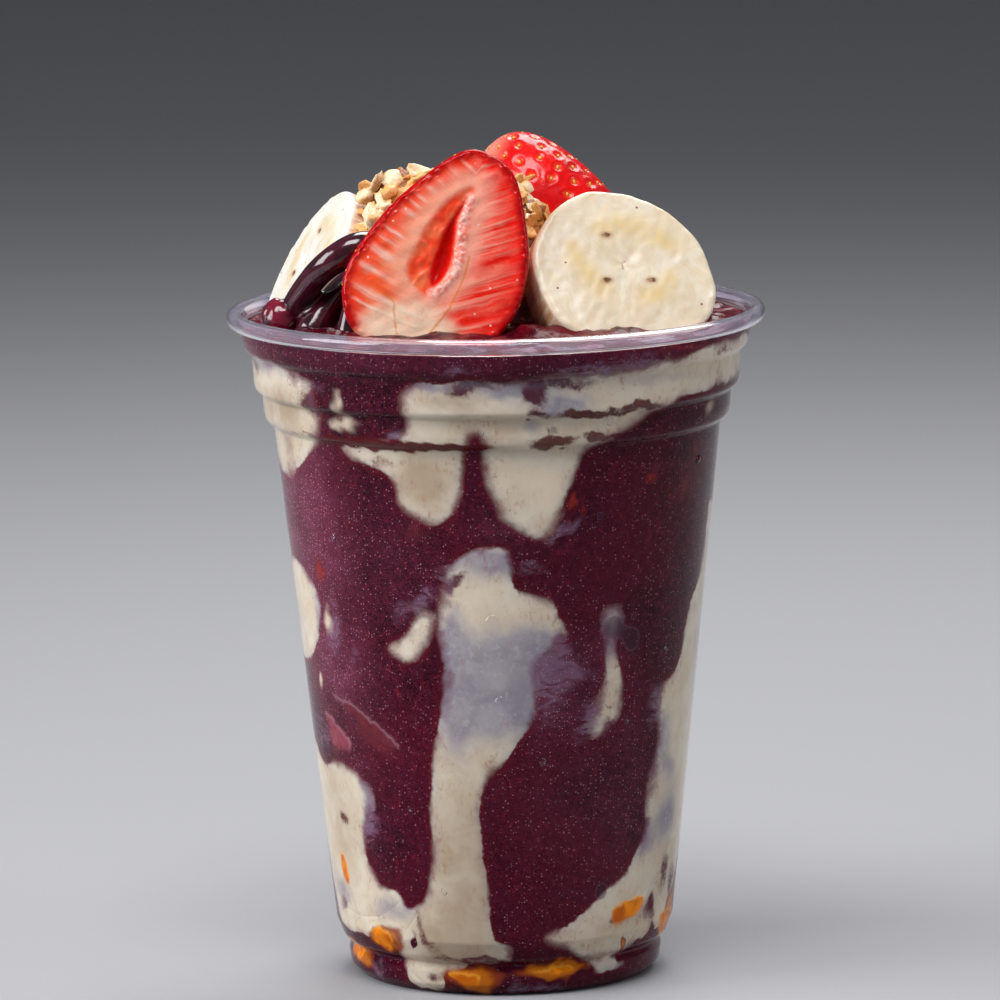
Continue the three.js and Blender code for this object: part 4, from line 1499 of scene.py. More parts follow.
@dataclass
class WallPatch:
    """One thing that lies against the wall: a streak of cream, a mango chunk or a sunk slice.

    Attributes:
        name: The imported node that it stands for.
        outline: Its outline in unrolled millimetres.
        inset: How far inside the outer wall its face lies.
        depth: How far it reaches inwards in its middle.
        taper: Distance from the outline at which it is that deep.
        grow: How far its face spreads past the outline.
    """

    name: str
    outline: Array
    inset: float = 0.33
    depth: float = 2.2
    taper: float = 3.0
    grow: float = 0.5

    def spread(self) -> Array:
        """Moves the outline outwards by grow.

        Returns:
            The moved outline, evenly spaced.
        """
        even = evenly(self.outline)
        forward = np.roll(even, -1, axis=0) - np.roll(even, 1, axis=0)
        side = np.stack([forward[:, 1], -forward[:, 0]], axis=1)
        side /= np.maximum(np.linalg.norm(side, axis=1, keepdims=True), 1e-9)
        area = (even[:, 0] * np.roll(even[:, 1], -1) - even[:, 1] * np.roll(even[:, 0], -1)).sum()
        moved = even + side * self.grow * (1 if area > 0 else -1)
        return moved[np.abs(outline_distance(moved, even)) > self.grow * 0.8]

    def shape(self, paint: WallPaint) -> Shape:
        """Makes the patch: a face along the wall, a back that tapers to it, and a closed edge.

        Args:
            paint: The wall's paint, for the marks.

        Returns:
            The closed shape.
        """
        rim = self.spread()
        low, high = rim.min(0), rim.max(0)
        heights = WALL.rows(max(low[1], 0.8), high[1])
        columns = np.arange(low[0], high[0], 0.75)
        inner = np.stack([part.ravel() for part in np.meshgrid(columns, heights)], axis=1)
        inner[:, 0] += 0.37 * (np.round(inner[:, 1] * 7) % 2)
        inner = inner[outline_distance(inner, rim) < -0.4]
        flat = np.vstack([rim, inner])
        ring = [(k, (k + 1) % len(rim)) for k in range(len(rim))]
        result = delaunay_2d_cdt([Vector(p) for p in flat], ring, [list(range(len(rim)))], 1, 1e-5)
        flat = np.array([tuple(p) for p in result[0]])
        flat[:, 1] = np.maximum(flat[:, 1], 0.7)
        faces = np.array([f for f in result[2] if len(f) == 3])
        count = len(flat)
        gap = -outline_distance(flat, rim)
        angle = flat[:, 0] / UNROLLED
        sunk = self.inset + (PUREE_INSET + 0.05 - self.inset) * smooth(0.9, 0.0, gap)
        face = WALL.place(angle, flat[:, 1], sunk)
        reach = 0.3 + (self.depth - 0.3) * np.sqrt(smooth(0, 2 * self.taper, gap))
        back = WALL.place(angle, flat[:, 1], self.inset + reach)
        sides = np.concatenate([faces[:, [0, 1]], faces[:, [1, 2]], faces[:, [2, 0]]])
        known = {tuple(pair) for pair in sides.tolist()}
        border = np.array([pair for pair in sides.tolist() if (pair[1], pair[0]) not in known])
        skirt = np.stack([border[:, 1], border[:, 0], border[:, 0] + count, border[:, 1] + count], axis=1)
        marks = paint.marks(angle, flat[:, 1])
        marks["rim"] = gap - self.grow
        marks["lead"] = smooth(-0.2, 0.9, (gap + outline_distance(flat + [0.3, 0.8], rim)) / 0.8)
        marks = {key: np.tile(value, 2) for key, value in marks.items()}
        return Shape(np.vstack([face, back]), [faces, faces[:, ::-1] + count, skirt], marks).outwards()

    def build(self, paint: WallPaint, kind: str, material: Material, slot: Slot) -> None:
        """Adds the patch, its edge crisp and its face smooth.

        Args:
            paint: The wall's paint, for the marks.
            kind: The word that ends the piece's name.
            material: Its finish.
            slot: The record's slot that it belongs to; not used.
        """
        mesh = self.shape(paint).mesh(self.name)
        mesh.set_sharp_from_angle(angle=math.radians(50))
        add_piece(f"{self.name}_{kind}", mesh, material, [self.name])


# Mango chunks: angle, height, width, tallness and spin of each.
MANGOES = [
    (45.5, 14.2, 13, 5.6, 12), (75, 9.2, 12, 7.4, -10), (-65.5, 21.2, 5, 8.2, 14),
    (-47, 9.6, 9, 5.4, -8), (18, 4.4, 11.5, 3.2, 2), (-15, 3.4, 9.5, 4, -6),
    (-72, 5.2, 11, 5.2, 8), (112, 12, 12, 8, 14), (196, 8.5, 12, 7.5, -12), (243, 7.5, 11, 7, 9),
]
# Outline of each strawberry slice at the wall: degrees from the front and height.
SUNK_SLICES = {
    "strawberry_sunk_long": [(-61, 54.4), (-50, 53.6), (-38, 49.8), (-31.5, 46), (-38, 46.3), (-50, 49.8)],
    "strawberry_sunk_short": [
        (-66, 51), (-59.5, 49.2), (-52.6, 46.4), (-53.5, 43.2), (-62, 43.6), (-66.5, 46.8),
    ],
}


@dataclass
class Fillings:
    """The cream streaks, mango chunks and strawberry slices that show at the wall.

    Attributes:
        paint: The wall's paint.
        mango_depth: How far a mango chunk reaches inwards.
        slice_depth: How far a strawberry slice reaches inwards.
    """

    paint: WallPaint
    mango_depth: float = 6.0
    slice_depth: float = 3.0

    def mango_outline(self, angle: float, height: float, wide: float, tall: float, spin: float) -> Array:
        """Returns a blunt, uneven six-cornered outline in unrolled millimetres.

        Args:
            angle: Where the chunk is.
            height: How high its middle is.
            wide: Its width.
            tall: Its height.
            spin: How far it is turned, in degrees.

        Returns:
            The outline.
        """
        around = np.radians(np.array([14, 58, 118, 168, 232, 304]))
        uneven = 1 + 0.12 * np.sin(around * 3 + angle)
        shape = np.stack([np.cos(around) * wide / 2, np.sin(around) * tall / 2], axis=1) * uneven[:, None]
        c, s = math.cos(math.radians(spin)), math.sin(math.radians(spin))
        middle = (angle * UNROLLED, height)
        return flowing_line((shape @ np.array([[c, s], [-s, c]]) + middle).tolist(), 6)

    def build(self) -> None:
        """Adds the cream, then the mango, then the strawberry slices."""
        for name, outline in self.paint.outlines.items():
            WallPatch(name, outline).build(self.paint, "swirl", MarbledFinish().build(), Slot.CREAM)
        # Each sunk finish's third colour is the painted highlight inside its upper rim.
        mango = SunkFinish("mango_flesh", shade(238, 142, 2), shade(190, 92, 2), shade(240, 172, 60), 0.5)
        flesh = mango.build()
        for k, given in enumerate(MANGOES):
            patch = WallPatch(f"mango_{k + 1}", self.mango_outline(*given), 0.27, self.mango_depth, 2.4, 0.6)
            patch.build(self.paint, "chunk", flesh, Slot.MANGO)
        deep = ("deep", shade(118, 42, 52), shade(88, 26, 38), shade(178, 136, 150), 0.3, 0.8, 0.3)
        pale = ("pale", shade(150, 70, 82), shade(112, 42, 58), shade(176, 120, 134), 0.5, 0.9, 0.15)
        for (name, given), (tone, *look) in zip(SUNK_SLICES.items(), (deep, pale)):
            outline = flowing_line(given, 6) * [UNROLLED, 1]
            patch = WallPatch(name, outline, 0.3, self.slice_depth, 2.0, 0.4)
            flesh = SunkFinish("sunk_strawberry_" + tone, *look).build()
            patch.build(self.paint, "slice", flesh, Slot.FLESH)


# ---- fruit


@dataclass(frozen=True)
class CutFleshFinish:
    """The wet cut face of a strawberry: red flesh, pale fibres, a halo, a crimson rim, painted light on its
    left and painted glints.
    """

    red: Colour = shade(246, 16, 12)
    orange: Colour = shade(255, 100, 54)
    salmon: Colour = shade(255, 180, 150)
    pink: Colour = shade(255, 182, 160)
    bright: Colour = shade(255, 58, 30)
    crimson: Colour = shade(180, 0, 8)
    cavity: Colour = shade(220, 22, 16)
    cream: Colour = shade(250, 222, 192)
    vein: Colour = shade(226, 134, 54)

    @cache
    def build(self) -> Material:
        """Wires the nodes, which read the cut face's marks.

        Returns:
            The material.
        """
        g = ShaderGraph("strawberry_flesh")
        local = g.mark("local", "Vector")
        x = g.split(local)[0]
        fine, middle = g.noise(local, 0.8, 3, 0.6), g.noise(local, 3.2, 2)
        soft = g.less(middle, 0.5)
        core = g.plus(g.mark("core"), g.times(soft, 2.4))
        # Painted light: the left of the face, towards the key lamp, is painted more orange and brighter.
        lit_left = g.rise(g.plus(x, g.times(soft, 9.0)), -10.0, 7.0, 1.0, 0.1)
        base = g.mix(lit_left, self.red, self.orange)
        wave = g.plus(g.mark("fibre"), g.times(soft, 0.35))
        streak = g.noise(g.join(g.times(wave, 3.3), g.times(core, 0.1), 0.0), 1.0, 3)
        base = g.over(base, self.salmon, streak, 0.4, 0.65, 0.0, 0.4)
        band = g.rise(g.plus(g.mark("rim"), g.times(soft, 3.0)), 1.2, 6.2, 0.85, 0.0)
        base = g.mix(band, base, g.mix(lit_left, self.red, self.bright))
        base = g.over(base, self.crimson, streak, 0.25, 0.45, 0.25, 0.0)
        ridge = g.math("ABSOLUTE", g.less(g.math("FRACT", wave), 0.5))
        thread = g.times(g.rise(ridge, 0.0, 0.33, 0.95, 0.0), g.mark("reach"))
        thread = g.times(thread, g.rise(streak, 0.3, 0.6, 0.35, 1.0))
        thread = g.times(thread, g.rise(g.mark("rim"), 0.6, 4.5, 0.35, 1.0))
        thread = g.times(thread, g.rise(x, -2.0, 11.0, 0.9, 0.3))
        base = g.mix(thread, base, g.mix(g.rise(x, -7.0, 5.0), shade(255, 210, 192), self.pink))
        base = g.over(base, g.mix(lit_left, self.pink, self.salmon), core, 0.5, 5.0, 0.8, 0.0)
        # Painted highlights: small white dots stand for glints on tiny drops of juice.
        near, hue = g.cells(local, 1.5)
        dots = g.times(g.rise(near, 0.08, 0.2, 0.8, 0.0), g.rise(g.split(hue)[0], 0.72, 0.9))
        base = g.mix(dots, base, shade(255, 222, 210))
        foot = g.plus(g.mark("foot"), g.times(soft, 0.9))
        base = g.over(base, self.cream, foot, 0.0, 1.25, 0.0, 0.95)
        vein = g.plus(g.mark("vein"), g.times(g.less(fine, 0.5), 0.3))
        base = g.over(base, self.vein, vein, 0.05, 0.32, 0.7, 0.0)
        flesh = g.mix(g.rise(middle, 0.35, 0.68), shade(255, 74, 40), shade(255, 122, 78))
        base = g.mix(g.mark("wall"), base, flesh)
        base = g.mix(g.mark("slot"), base, self.cavity)
        wet = g.mix(g.rise(fine, 0.42, 0.6), shade(250, 140, 122), shade(255, 196, 184))
        base = g.mix(g.mark("lip"), base, wet)
        rim = g.plus(g.mark("rim"), g.times(soft, 1.6))
        edge = g.times(g.rise(rim, 0.3, 2.4, 1.0, 0.0), g.rise(foot, 0.3, 0.7, 1.0, 0.2))
        base = g.mix(edge, base, self.crimson)
        return g.finish(
            base, 0.14, g.bump(g.noise(local, 0.6, 2), 0.08), Specular_IOR_Level=0.25,
            Subsurface_Weight=0.15, Subsurface_Radius=(1.0, 0.3, 0.2), Subsurface_Scale=0.001,
        )


@dataclass(frozen=True)
class BerrySkinFinish:
    """Glossy red strawberry skin, paler round its seeds and at its shoulder."""

    red: Colour = shade(236, 10, 10)
    deep: Colour = shade(206, 2, 10)
    pale: Colour = shade(246, 150, 130)

    @cache
    def build(self) -> Material:
        """Wires the nodes.

        Returns:
            The material.
        """
        g = ShaderGraph("strawberry_skin")
        place = g.place()
        base = g.mix(g.rise(g.noise(place, 5, 2), 0.35, 0.65), self.deep, self.red)
        base = g.over(base, shade(250, 90, 30), g.mark("dimple"), 0.3, 1.0, 0.0, 0.4)
        base = g.mix(g.mark("shoulder"), base, self.pale)
        fine = g.noise(place, 0.9, 2)
        return g.finish(
            base, 0.22, g.bump(fine, 0.05), Specular_IOR_Level=0.4, Coat_Weight=0.12, Coat_Roughness=0.08
        )


@dataclass(frozen=True)
class PlainFinish:
    """A small thing's finish: two colours mottled together.

    Attributes:
        name: The material's name.
        light: Its lighter colour.
        dark: Its darker colour.
        rough: Its roughness.
        size: Size of the mottling.
        coat: How strong its glossy coat is.
    """

    name: str
    light: Colour
    dark: Colour
    rough: float = 0.4
    size: float = 1.0
    coat: float = 0.0

    @cache
    def build(self) -> Material:
        """Wires the nodes.

        Returns:
            The material.
        """
        g = ShaderGraph(self.name)
        grain = g.noise(g.place(), self.size, 3, 0.6)
        base = g.mix(g.rise(grain, 0.35, 0.65), self.dark, self.light)
        return g.finish(base, self.rough, g.bump(grain, 0.12 * self.size), Coat_Weight=self.coat)


@dataclass
class Strawberry:
    """Half a strawberry: an outlined cut face and the rounded skin behind it.

    The piece's own frame has Z from stalk to tip and the cut face looking along -Y.

    Attributes:
        node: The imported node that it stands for.
        outline: A few points of the cut face's outline.
        middle: The point that the face's rings close on.
        depth: How far the skin bulges behind the face.
        pose: Turn, tilt and lean, in degrees.
        columns: Points round the outline.
        face_rows: Rings of points on the cut face.
        skin_rows: Rings of points on the skin.
        seed_gap: Distance between seeds.
        cavity: Outline of the hollow's pale wall in the cut face.
        slot: Outline of the dark slot inside it.
        lip: Line of the wet ridge beside the slot.
        veins: Lines of the two golden veins at the foot of the face.
        edge: Radius of the rounded edge between face and skin.
        fibre_gap: Distance between fibres.
        slot_depth: How far the slot is sunk.
        cavity_depth: How far the cavity is sunk.
        lip_size: Height and half width of the ridge.
        dimple: Depth of the dimple round a seed.
        seed_half: Half width, half length and half thickness of a seed.
        seed_sunk: How far a seed's middle is below the skin.
    """

    node: str
    outline: list
    middle: Pair
    depth: float
    pose: Triple
    columns: int = 288
    face_rows: int = 60
    skin_rows: int = 44
    seed_gap: float = 3.6
    edge: float = 0.9
    fibre_gap: float = 2.5
    slot_depth: float = 1.9
    cavity_depth: float = 0.5
    lip_size: Pair = (0.45, 0.9)
    dimple: float = 0.3
    seed_half: Triple = (0.3, 0.5, 0.26)
    seed_sunk: float = 0.24
    cavity: list = field(default_factory=lambda: [
        (1.7, 33.4), (2.6, 30), (2.9, 24), (2.9, 20.5), (2.2, 16.6), (-0.2, 12.6), (-3.4, 12.6),
        (-6.4, 15.6), (-6.0, 20), (-4.6, 25.0), (-2.2, 30.0),
    ])
    slot: list = field(default_factory=lambda: [
        (1.2, 31), (0.5, 26.6), (0.9, 22.5), (1.1, 19.0), (0.2, 15.6), (-1.4, 14.2), (-2.3, 16.8),
        (-1.9, 21.4), (-1.2, 25.4),
    ])
    lip: list = field(default_factory=lambda: [
        (1.9, 31), (1.5, 27.5), (1.7, 24), (2.2, 20.5), (1.9, 17.6), (0.8, 15.0), (-0.6, 13.2),
    ])
    veins: list = field(default_factory=lambda: [
        [(-9.7, 10.9), (-7.4, 9.9), (-6.8, 8.0), (-5.9, 5.4), (-4.8, 3.2)],
        [(4.0, 21), (3.9, 17.2), (3.2, 13.6), (2.4, 10.3), (0.9, 7.3), (-0.6, 4.0)],
    ])

    def face_relief(self, flat: Array, marks: dict[str, Array]) -> Array:
        """Carves the cut face, and fills in its marks.

        Args:
            flat: The face's points in its plane.
            marks: The marks so far, with each point's distance from the rim.

        Returns:
            How far each point stands back.
        """
        edge = marks["rim"]
        inside = np.clip(self.edge - edge, 0, self.edge)
        relief = self.edge - np.sqrt(np.clip(self.edge**2 - inside**2, 0, 1))
        points = np.stack([flat[:, 0], 0 * edge, flat[:, 1]], axis=1)
        cavity = outline_distance(flat, flowing_line(self.cavity, 8))
        slot = outline_distance(flat, flowing_line(self.slot, 8))
        lip = line_distance(flat, flowing_line(self.lip, 8, False))
        side = flat[:, 0] - np.interp(flat[:, 1], [0, 14, 33, 41], [-2, -1.2, 1.6, 3])
        rise = 0.1 + 0.011 * flat[:, 1] + 0.22 * smooth(-1.0, 3.0, side)
        flow = flat[:, 1] - rise * np.abs(side)
        uneven = ripple(np.stack([4 * np.sign(side), 0 * flow, flow], axis=1), 5.0, 46)
        marks["fibre"] = flow / self.fibre_gap + 0.4 * uneven
        marks["reach"] = smooth(1.4, 3.4, cavity) * smooth(0.5, 2.6, edge)
        marks["core"] = cavity
        low = ((flat[:, 0] + 3.2) / 10.5) ** 2 + ((flat[:, 1] - 3.0) / 8.6) ** 2
        marks["foot"] = smooth(1.35, 0.35, low)
        marks["vein"] = np.minimum(*(line_distance(flat, flowing_line(v, 6, False)) for v in self.veins))
        marks["wall"] = smooth(0.5, -0.8, cavity)
        marks["slot"] = smooth(0.5, -0.5, slot)
        marks["lip"] = smooth(1.7, 0.3, lip) * smooth(-0.3, 0.3, slot)
        relief += self.slot_depth * smooth(0.5, -1.6, slot) + self.cavity_depth * smooth(0.4, -1.8, cavity)
        bumps = np.clip(ripple(points, 1.7, 41), -0.2, 2)
        relief -= 0.1 * bumps * smooth(0.2, -0.8, cavity)
        wrinkle = ripple(points * [1, 1, 1.8], 1.6, 42)
        tall, wide = self.lip_size
        relief -= (tall + 0.07 * wrinkle) * np.exp(-((lip / wide) ** 2))
        thread = np.abs(marks["fibre"] % 1 - 0.5)
        relief -= 0.06 * smooth(0.3, 0.0, thread) * marks["reach"]
        beads = np.clip(ripple(points, 1.0, 43) + 0.3 * ripple(points, 0.6, 44), 0, 2)
        relief -= 0.15 * beads * smooth(2.2, 1.0, edge) * smooth(0.1, 0.5, edge)
        relief -= 0.05 * ripple(points, 4.0, 45)
        return relief

    def seeds(self, rim: Array) -> Array:
        """Spaces the seeds over the skin.

        Args:
            rim: The outline.

        Returns:
            Parts of the way round and of the way back, each 0 to 1.
        """
        length = np.linalg.norm(np.roll(rim, -1, axis=0) - rim, axis=1).sum()
        draw = np.random.default_rng(51)
        spots = []
        rows = int(self.depth * 1.35 / self.seed_gap) + 2
        for row in range(rows):
            back = (row + 0.03) / rows
            count = max(1, int(length * math.cos(back * math.pi / 2) / self.seed_gap))
            for k in range(count):
                spots.append(((k + 0.5 * (row % 2)) / count + draw.normal() * 0.003, back))
        return np.array(spots)

    def skin_place(self, rim: Array, column: Array, back: Array) -> Array:
        """Finds points of the skin.

        Args:
            rim: The outline.
            column: Parts of the way round it.
            back: Parts of the way back.

        Returns:
            One point in each row.
        """
        spot = (column % 1) * len(rim)
        low = np.floor(spot).astype(int) % len(rim)
        part = (spot - np.floor(spot))[:, None]
        edge = rim[low] * (1 - part) + rim[(low + 1) % len(rim)] * part
        middle = np.array(self.middle)
        angle = back * math.pi / 2
        flat = middle + (edge - middle) * (np.cos(angle) ** 0.92)[:, None]
        deep = self.edge + (self.depth - self.edge) * np.sin(angle)
        return np.stack([flat[:, 0], deep, flat[:, 1]], axis=1)

    def build(self) -> None:
        """Adds the cut body and its seeds."""
        rim = evenly(flowing_line(self.outline, 24), self.columns)
        middle = np.array(self.middle)
        inward = np.linspace(0, 1, self.face_rows, endpoint=False)[:, None, None]
        rings = middle + (rim - middle)[None] * (1 - inward**1.15)
        flat = np.vstack([rings.reshape(-1, 2), middle])
        marks = {"rim": -outline_distance(flat, rim)}
        relief = self.face_relief(flat, marks)
        face = np.stack([flat[:, 0], relief, flat[:, 1]], axis=1)
        back = np.linspace(0, 1, self.skin_rows, endpoint=False)[1:]
        column = np.arange(self.columns) / self.columns
        grid_back, grid_column = (part.ravel() for part in np.meshgrid(back, column, indexing="ij"))
        hull = self.skin_place(rim, grid_column, grid_back)
        hull = np.vstack([hull, [middle[0], self.depth, middle[1]]])
        spots = self.seeds(rim)
        seats = self.skin_place(rim, spots[:, 0], spots[:, 1])
        centre = np.array([middle[0], 0.0, middle[1]])
        gap = np.sqrt(((hull[:, None] - seats[None]) ** 2).sum(2)).min(1)
        inward = centre - hull
        inward /= np.linalg.norm(inward, axis=1, keepdims=True)
        dent = self.dimple * smooth(1.2, 0.2, gap) - 0.05 * np.exp(-(((gap - 1.4) / 0.4) ** 2))
        hull += inward * dent[:, None]
        count, body = len(flat), self.columns
        first = np.vstack([np.arange(body), count + np.arange(body)])
        joint = np.stack([first[0], np.roll(first[0], -1), np.roll(first[1], -1), first[1]], axis=1)
        faces = [grid_faces(self.face_rows, body), joint, grid_faces(self.skin_rows - 1, body) + count]
        faces.append(fan_faces(count - 1, np.arange(count - 1 - body, count - 1)))
        last = count + len(hull) - 1
        faces.append(fan_faces(last, np.arange(last - body, last)))
        faces[0], faces[3] = faces[0][:, ::-1], faces[3][:, ::-1]
        points = np.vstack([face, hull])
        filled = {key: np.concatenate([value, np.zeros(len(hull))]) for key, value in marks.items()}
        filled["dimple"] = np.concatenate([np.zeros(count), smooth(1.5, 0.4, gap)])
        tall = points[:, 2].max()
        filled["shoulder"] = smooth(0.16 * tall, 0.0, points[:, 2])
        filled["local"] = points.copy()
        shape = Shape(points, faces, filled).outwards()
        spin = turned(*self.pose)
        before = shape.points.copy()
        shape.placed(self.node, spin)
        shift = shape.points[0] - before[0] @ spin.T
        mesh = shape.mesh(self.node)
        flesh = CutFleshFinish().build()
        mesh.materials.append(flesh)
        mesh.materials.append(BerrySkinFinish().build())
        sizes = [len(group) for group in faces]
        slots = np.concatenate([np.full(size, kind) for size, kind in zip(sizes, (0, 1, 1, 0, 1))])
        mesh.polygons.foreach_set("material_index", slots.astype(np.int32))
        add_piece(self.node + "_half", mesh, flesh, [self.node])
        self.add_seeds(seats, centre, spin, shift)

    def add_seeds(self, seats: Array, centre: Array, spin: Array, shift: Array) -> None:
        """Adds the seeds, each lying in its dimple with its point towards the stalk.

        Args:
            seats: Their places in the piece's own frame.
            centre: A point inside the fruit.
            spin: The piece's turning matrix.
            shift: The piece's move.
        """
        aim = seats - centre
        aim /= np.linalg.norm(aim, axis=1, keepdims=True)
        sunk = seats - aim * self.seed_sunk
        draw = np.random.default_rng(52)
        size = np.array(self.seed_half) * draw.uniform(0.85, 1.15, (len(seats), 1))
        loose = Loose(
            self.node + "_seeds", [ball(7, 10)], sunk @ spin.T + shift, aim @ spin.T,
            draw.uniform(0, 0.6, len(seats)), size, np.zeros(len(seats)),
        )
        seed = PlainFinish("strawberry_seed", shade(226, 178, 60), shade(180, 116, 30), 0.3, 0.6)
        loose.build(seed.build(), Slot.SKIN)


@dataclass(frozen=True)
class BananaFinish:
    """Moist banana: ivory flesh, yellow patches round the middle, three dark seed spots and painted shade on
    its side.

    Attributes:
        seeds: Middle of each seed spot, in the slice's own frame.
        patches: Middle of each yellow patch, and its radius.
        specks: Middle of each small dark speck.
    """

    name: str = "banana_flesh"
    ivory: Colour = shade(243, 230, 208)
    warm: Colour = shade(233, 214, 184)
    yellow: Colour = shade(234, 196, 104)
    clear: Colour = shade(222, 200, 160)
    seed: Colour = shade(104, 56, 28)
    side_shade: Colour = shade(200, 128, 74)
    seeds: tuple = ((-2.2, 0.0, 6.0), (-3.4, 0.0, -3.0), (4.7, 0.0, -3.4))
    patches: tuple = (
        (-3.0, 0.0, 7.6, 1.8), (0.2, 0.0, 8.0, 2.2), (3.6, 0.0, 7.2, 2.4), (7.2, 0.0, 5.4, 2.2),
        (9.4, 0.0, 3.6, 1.6), (-8.8, 0.0, 4.2, 1.4), (-8.4, 0.0, 1.6, 2.0), (-6.6, 0.0, -1.6, 2.2),
        (-4.6, 0.0, -4.6, 2.0), (3.2, 0.0, -6.6, 1.8), (5.8, 0.0, -6.0, 2.2), (8.2, 0.0, -3.4, 1.6),
    )
    specks: tuple = ((4.4, 0.0, 11.4), (-10.5, 0.0, 0.9), (-12.7, 0.0, -4.0), (13.2, 0.0, -8.6))

    def build(self) -> Material:
        """Wires the nodes, which read the slice's own frame and marks.

        Returns:
            The material.
        """
        g = ShaderGraph(self.name)
        local = g.mark("local", "Vector")
        fine, middle = g.noise(local, 1.0, 3, 0.6), g.noise(local, 4.6, 3, 0.55, 1.4)
        base = g.mix(g.rise(middle, 0.35, 0.68), self.warm, self.ivory)
        x, _, z = g.split(local)
        turn = g.math("ARCTAN2", g.plus(x, 0.2), z)
        rays = g.noise(g.join(g.times(turn, 3.2), g.times(g.mark("ring"), 1.2), middle), 1.0, 3)
        core = g.times(g.rise(rays, 0.46, 0.66), g.spot(local, (-0.2, 0.0, 0.0), 2.0, 10.0))
        core = g.times(core, g.rise(g.mark("ring"), 0.14, 0.34))
        base = g.mix(g.times(core, 0.6), base, self.clear)
        for x, y, z, reach in self.patches:
            patch = g.spot(local, (x, y, z), 0.0, reach * 1.7)
            patch = g.times(patch, g.rise(middle, 0.3, 0.62, 0.2, 0.62))
            base = g.mix(patch, base, self.yellow)
        wobble = g.times(g.less(fine, 0.5), 1.6)
        for x, y, z in self.seeds:
            blur = g.spot(g.stretch(local, (0.8, 1.0, 1.25)), (x * 0.8, y, z * 1.25), 0.2, 1.5)
            base = g.mix(g.times(blur, 0.7), base, shade(184, 130, 76))
            dark = g.plus(blur, wobble)
            base = g.over(base, self.seed, dark, 0.6, 1.05, 0, 0.9)
        for centre in self.specks:
            base = g.mix(g.spot(local, centre, 0.1, 0.3), base, shade(120, 40, 40))
        near, hue = g.cells(local, 0.75)
        dots = g.times(g.rise(near, 0.1, 0.4, 0.8, 0.0), g.rise(g.split(hue)[0], 0.45, 0.7))
        dots = g.times(dots, g.spot(local, (-0.2, 0.0, 0.0), 0.8, 2.2))
        base = g.mix(dots, base, shade(140, 84, 54))
        # Painted shade and a painted reflection of the puree: the slice's side is a darker orange-brown.
        side = g.mix(g.rise(fine, 0.35, 0.7), self.side_shade, self.warm)
        base = g.mix(g.times(g.mark("side"), 0.85), base, side)
        base = g.mix(g.mark("wet"), base, shade(150, 60, 50))
        return g.finish(
            base, 0.3, g.bump(middle, 0.06), Specular_IOR_Level=0.5,
            Subsurface_Weight=0.3, Subsurface_Radius=(1.0, 0.7, 0.4), Subsurface_Scale=0.0015,
        )


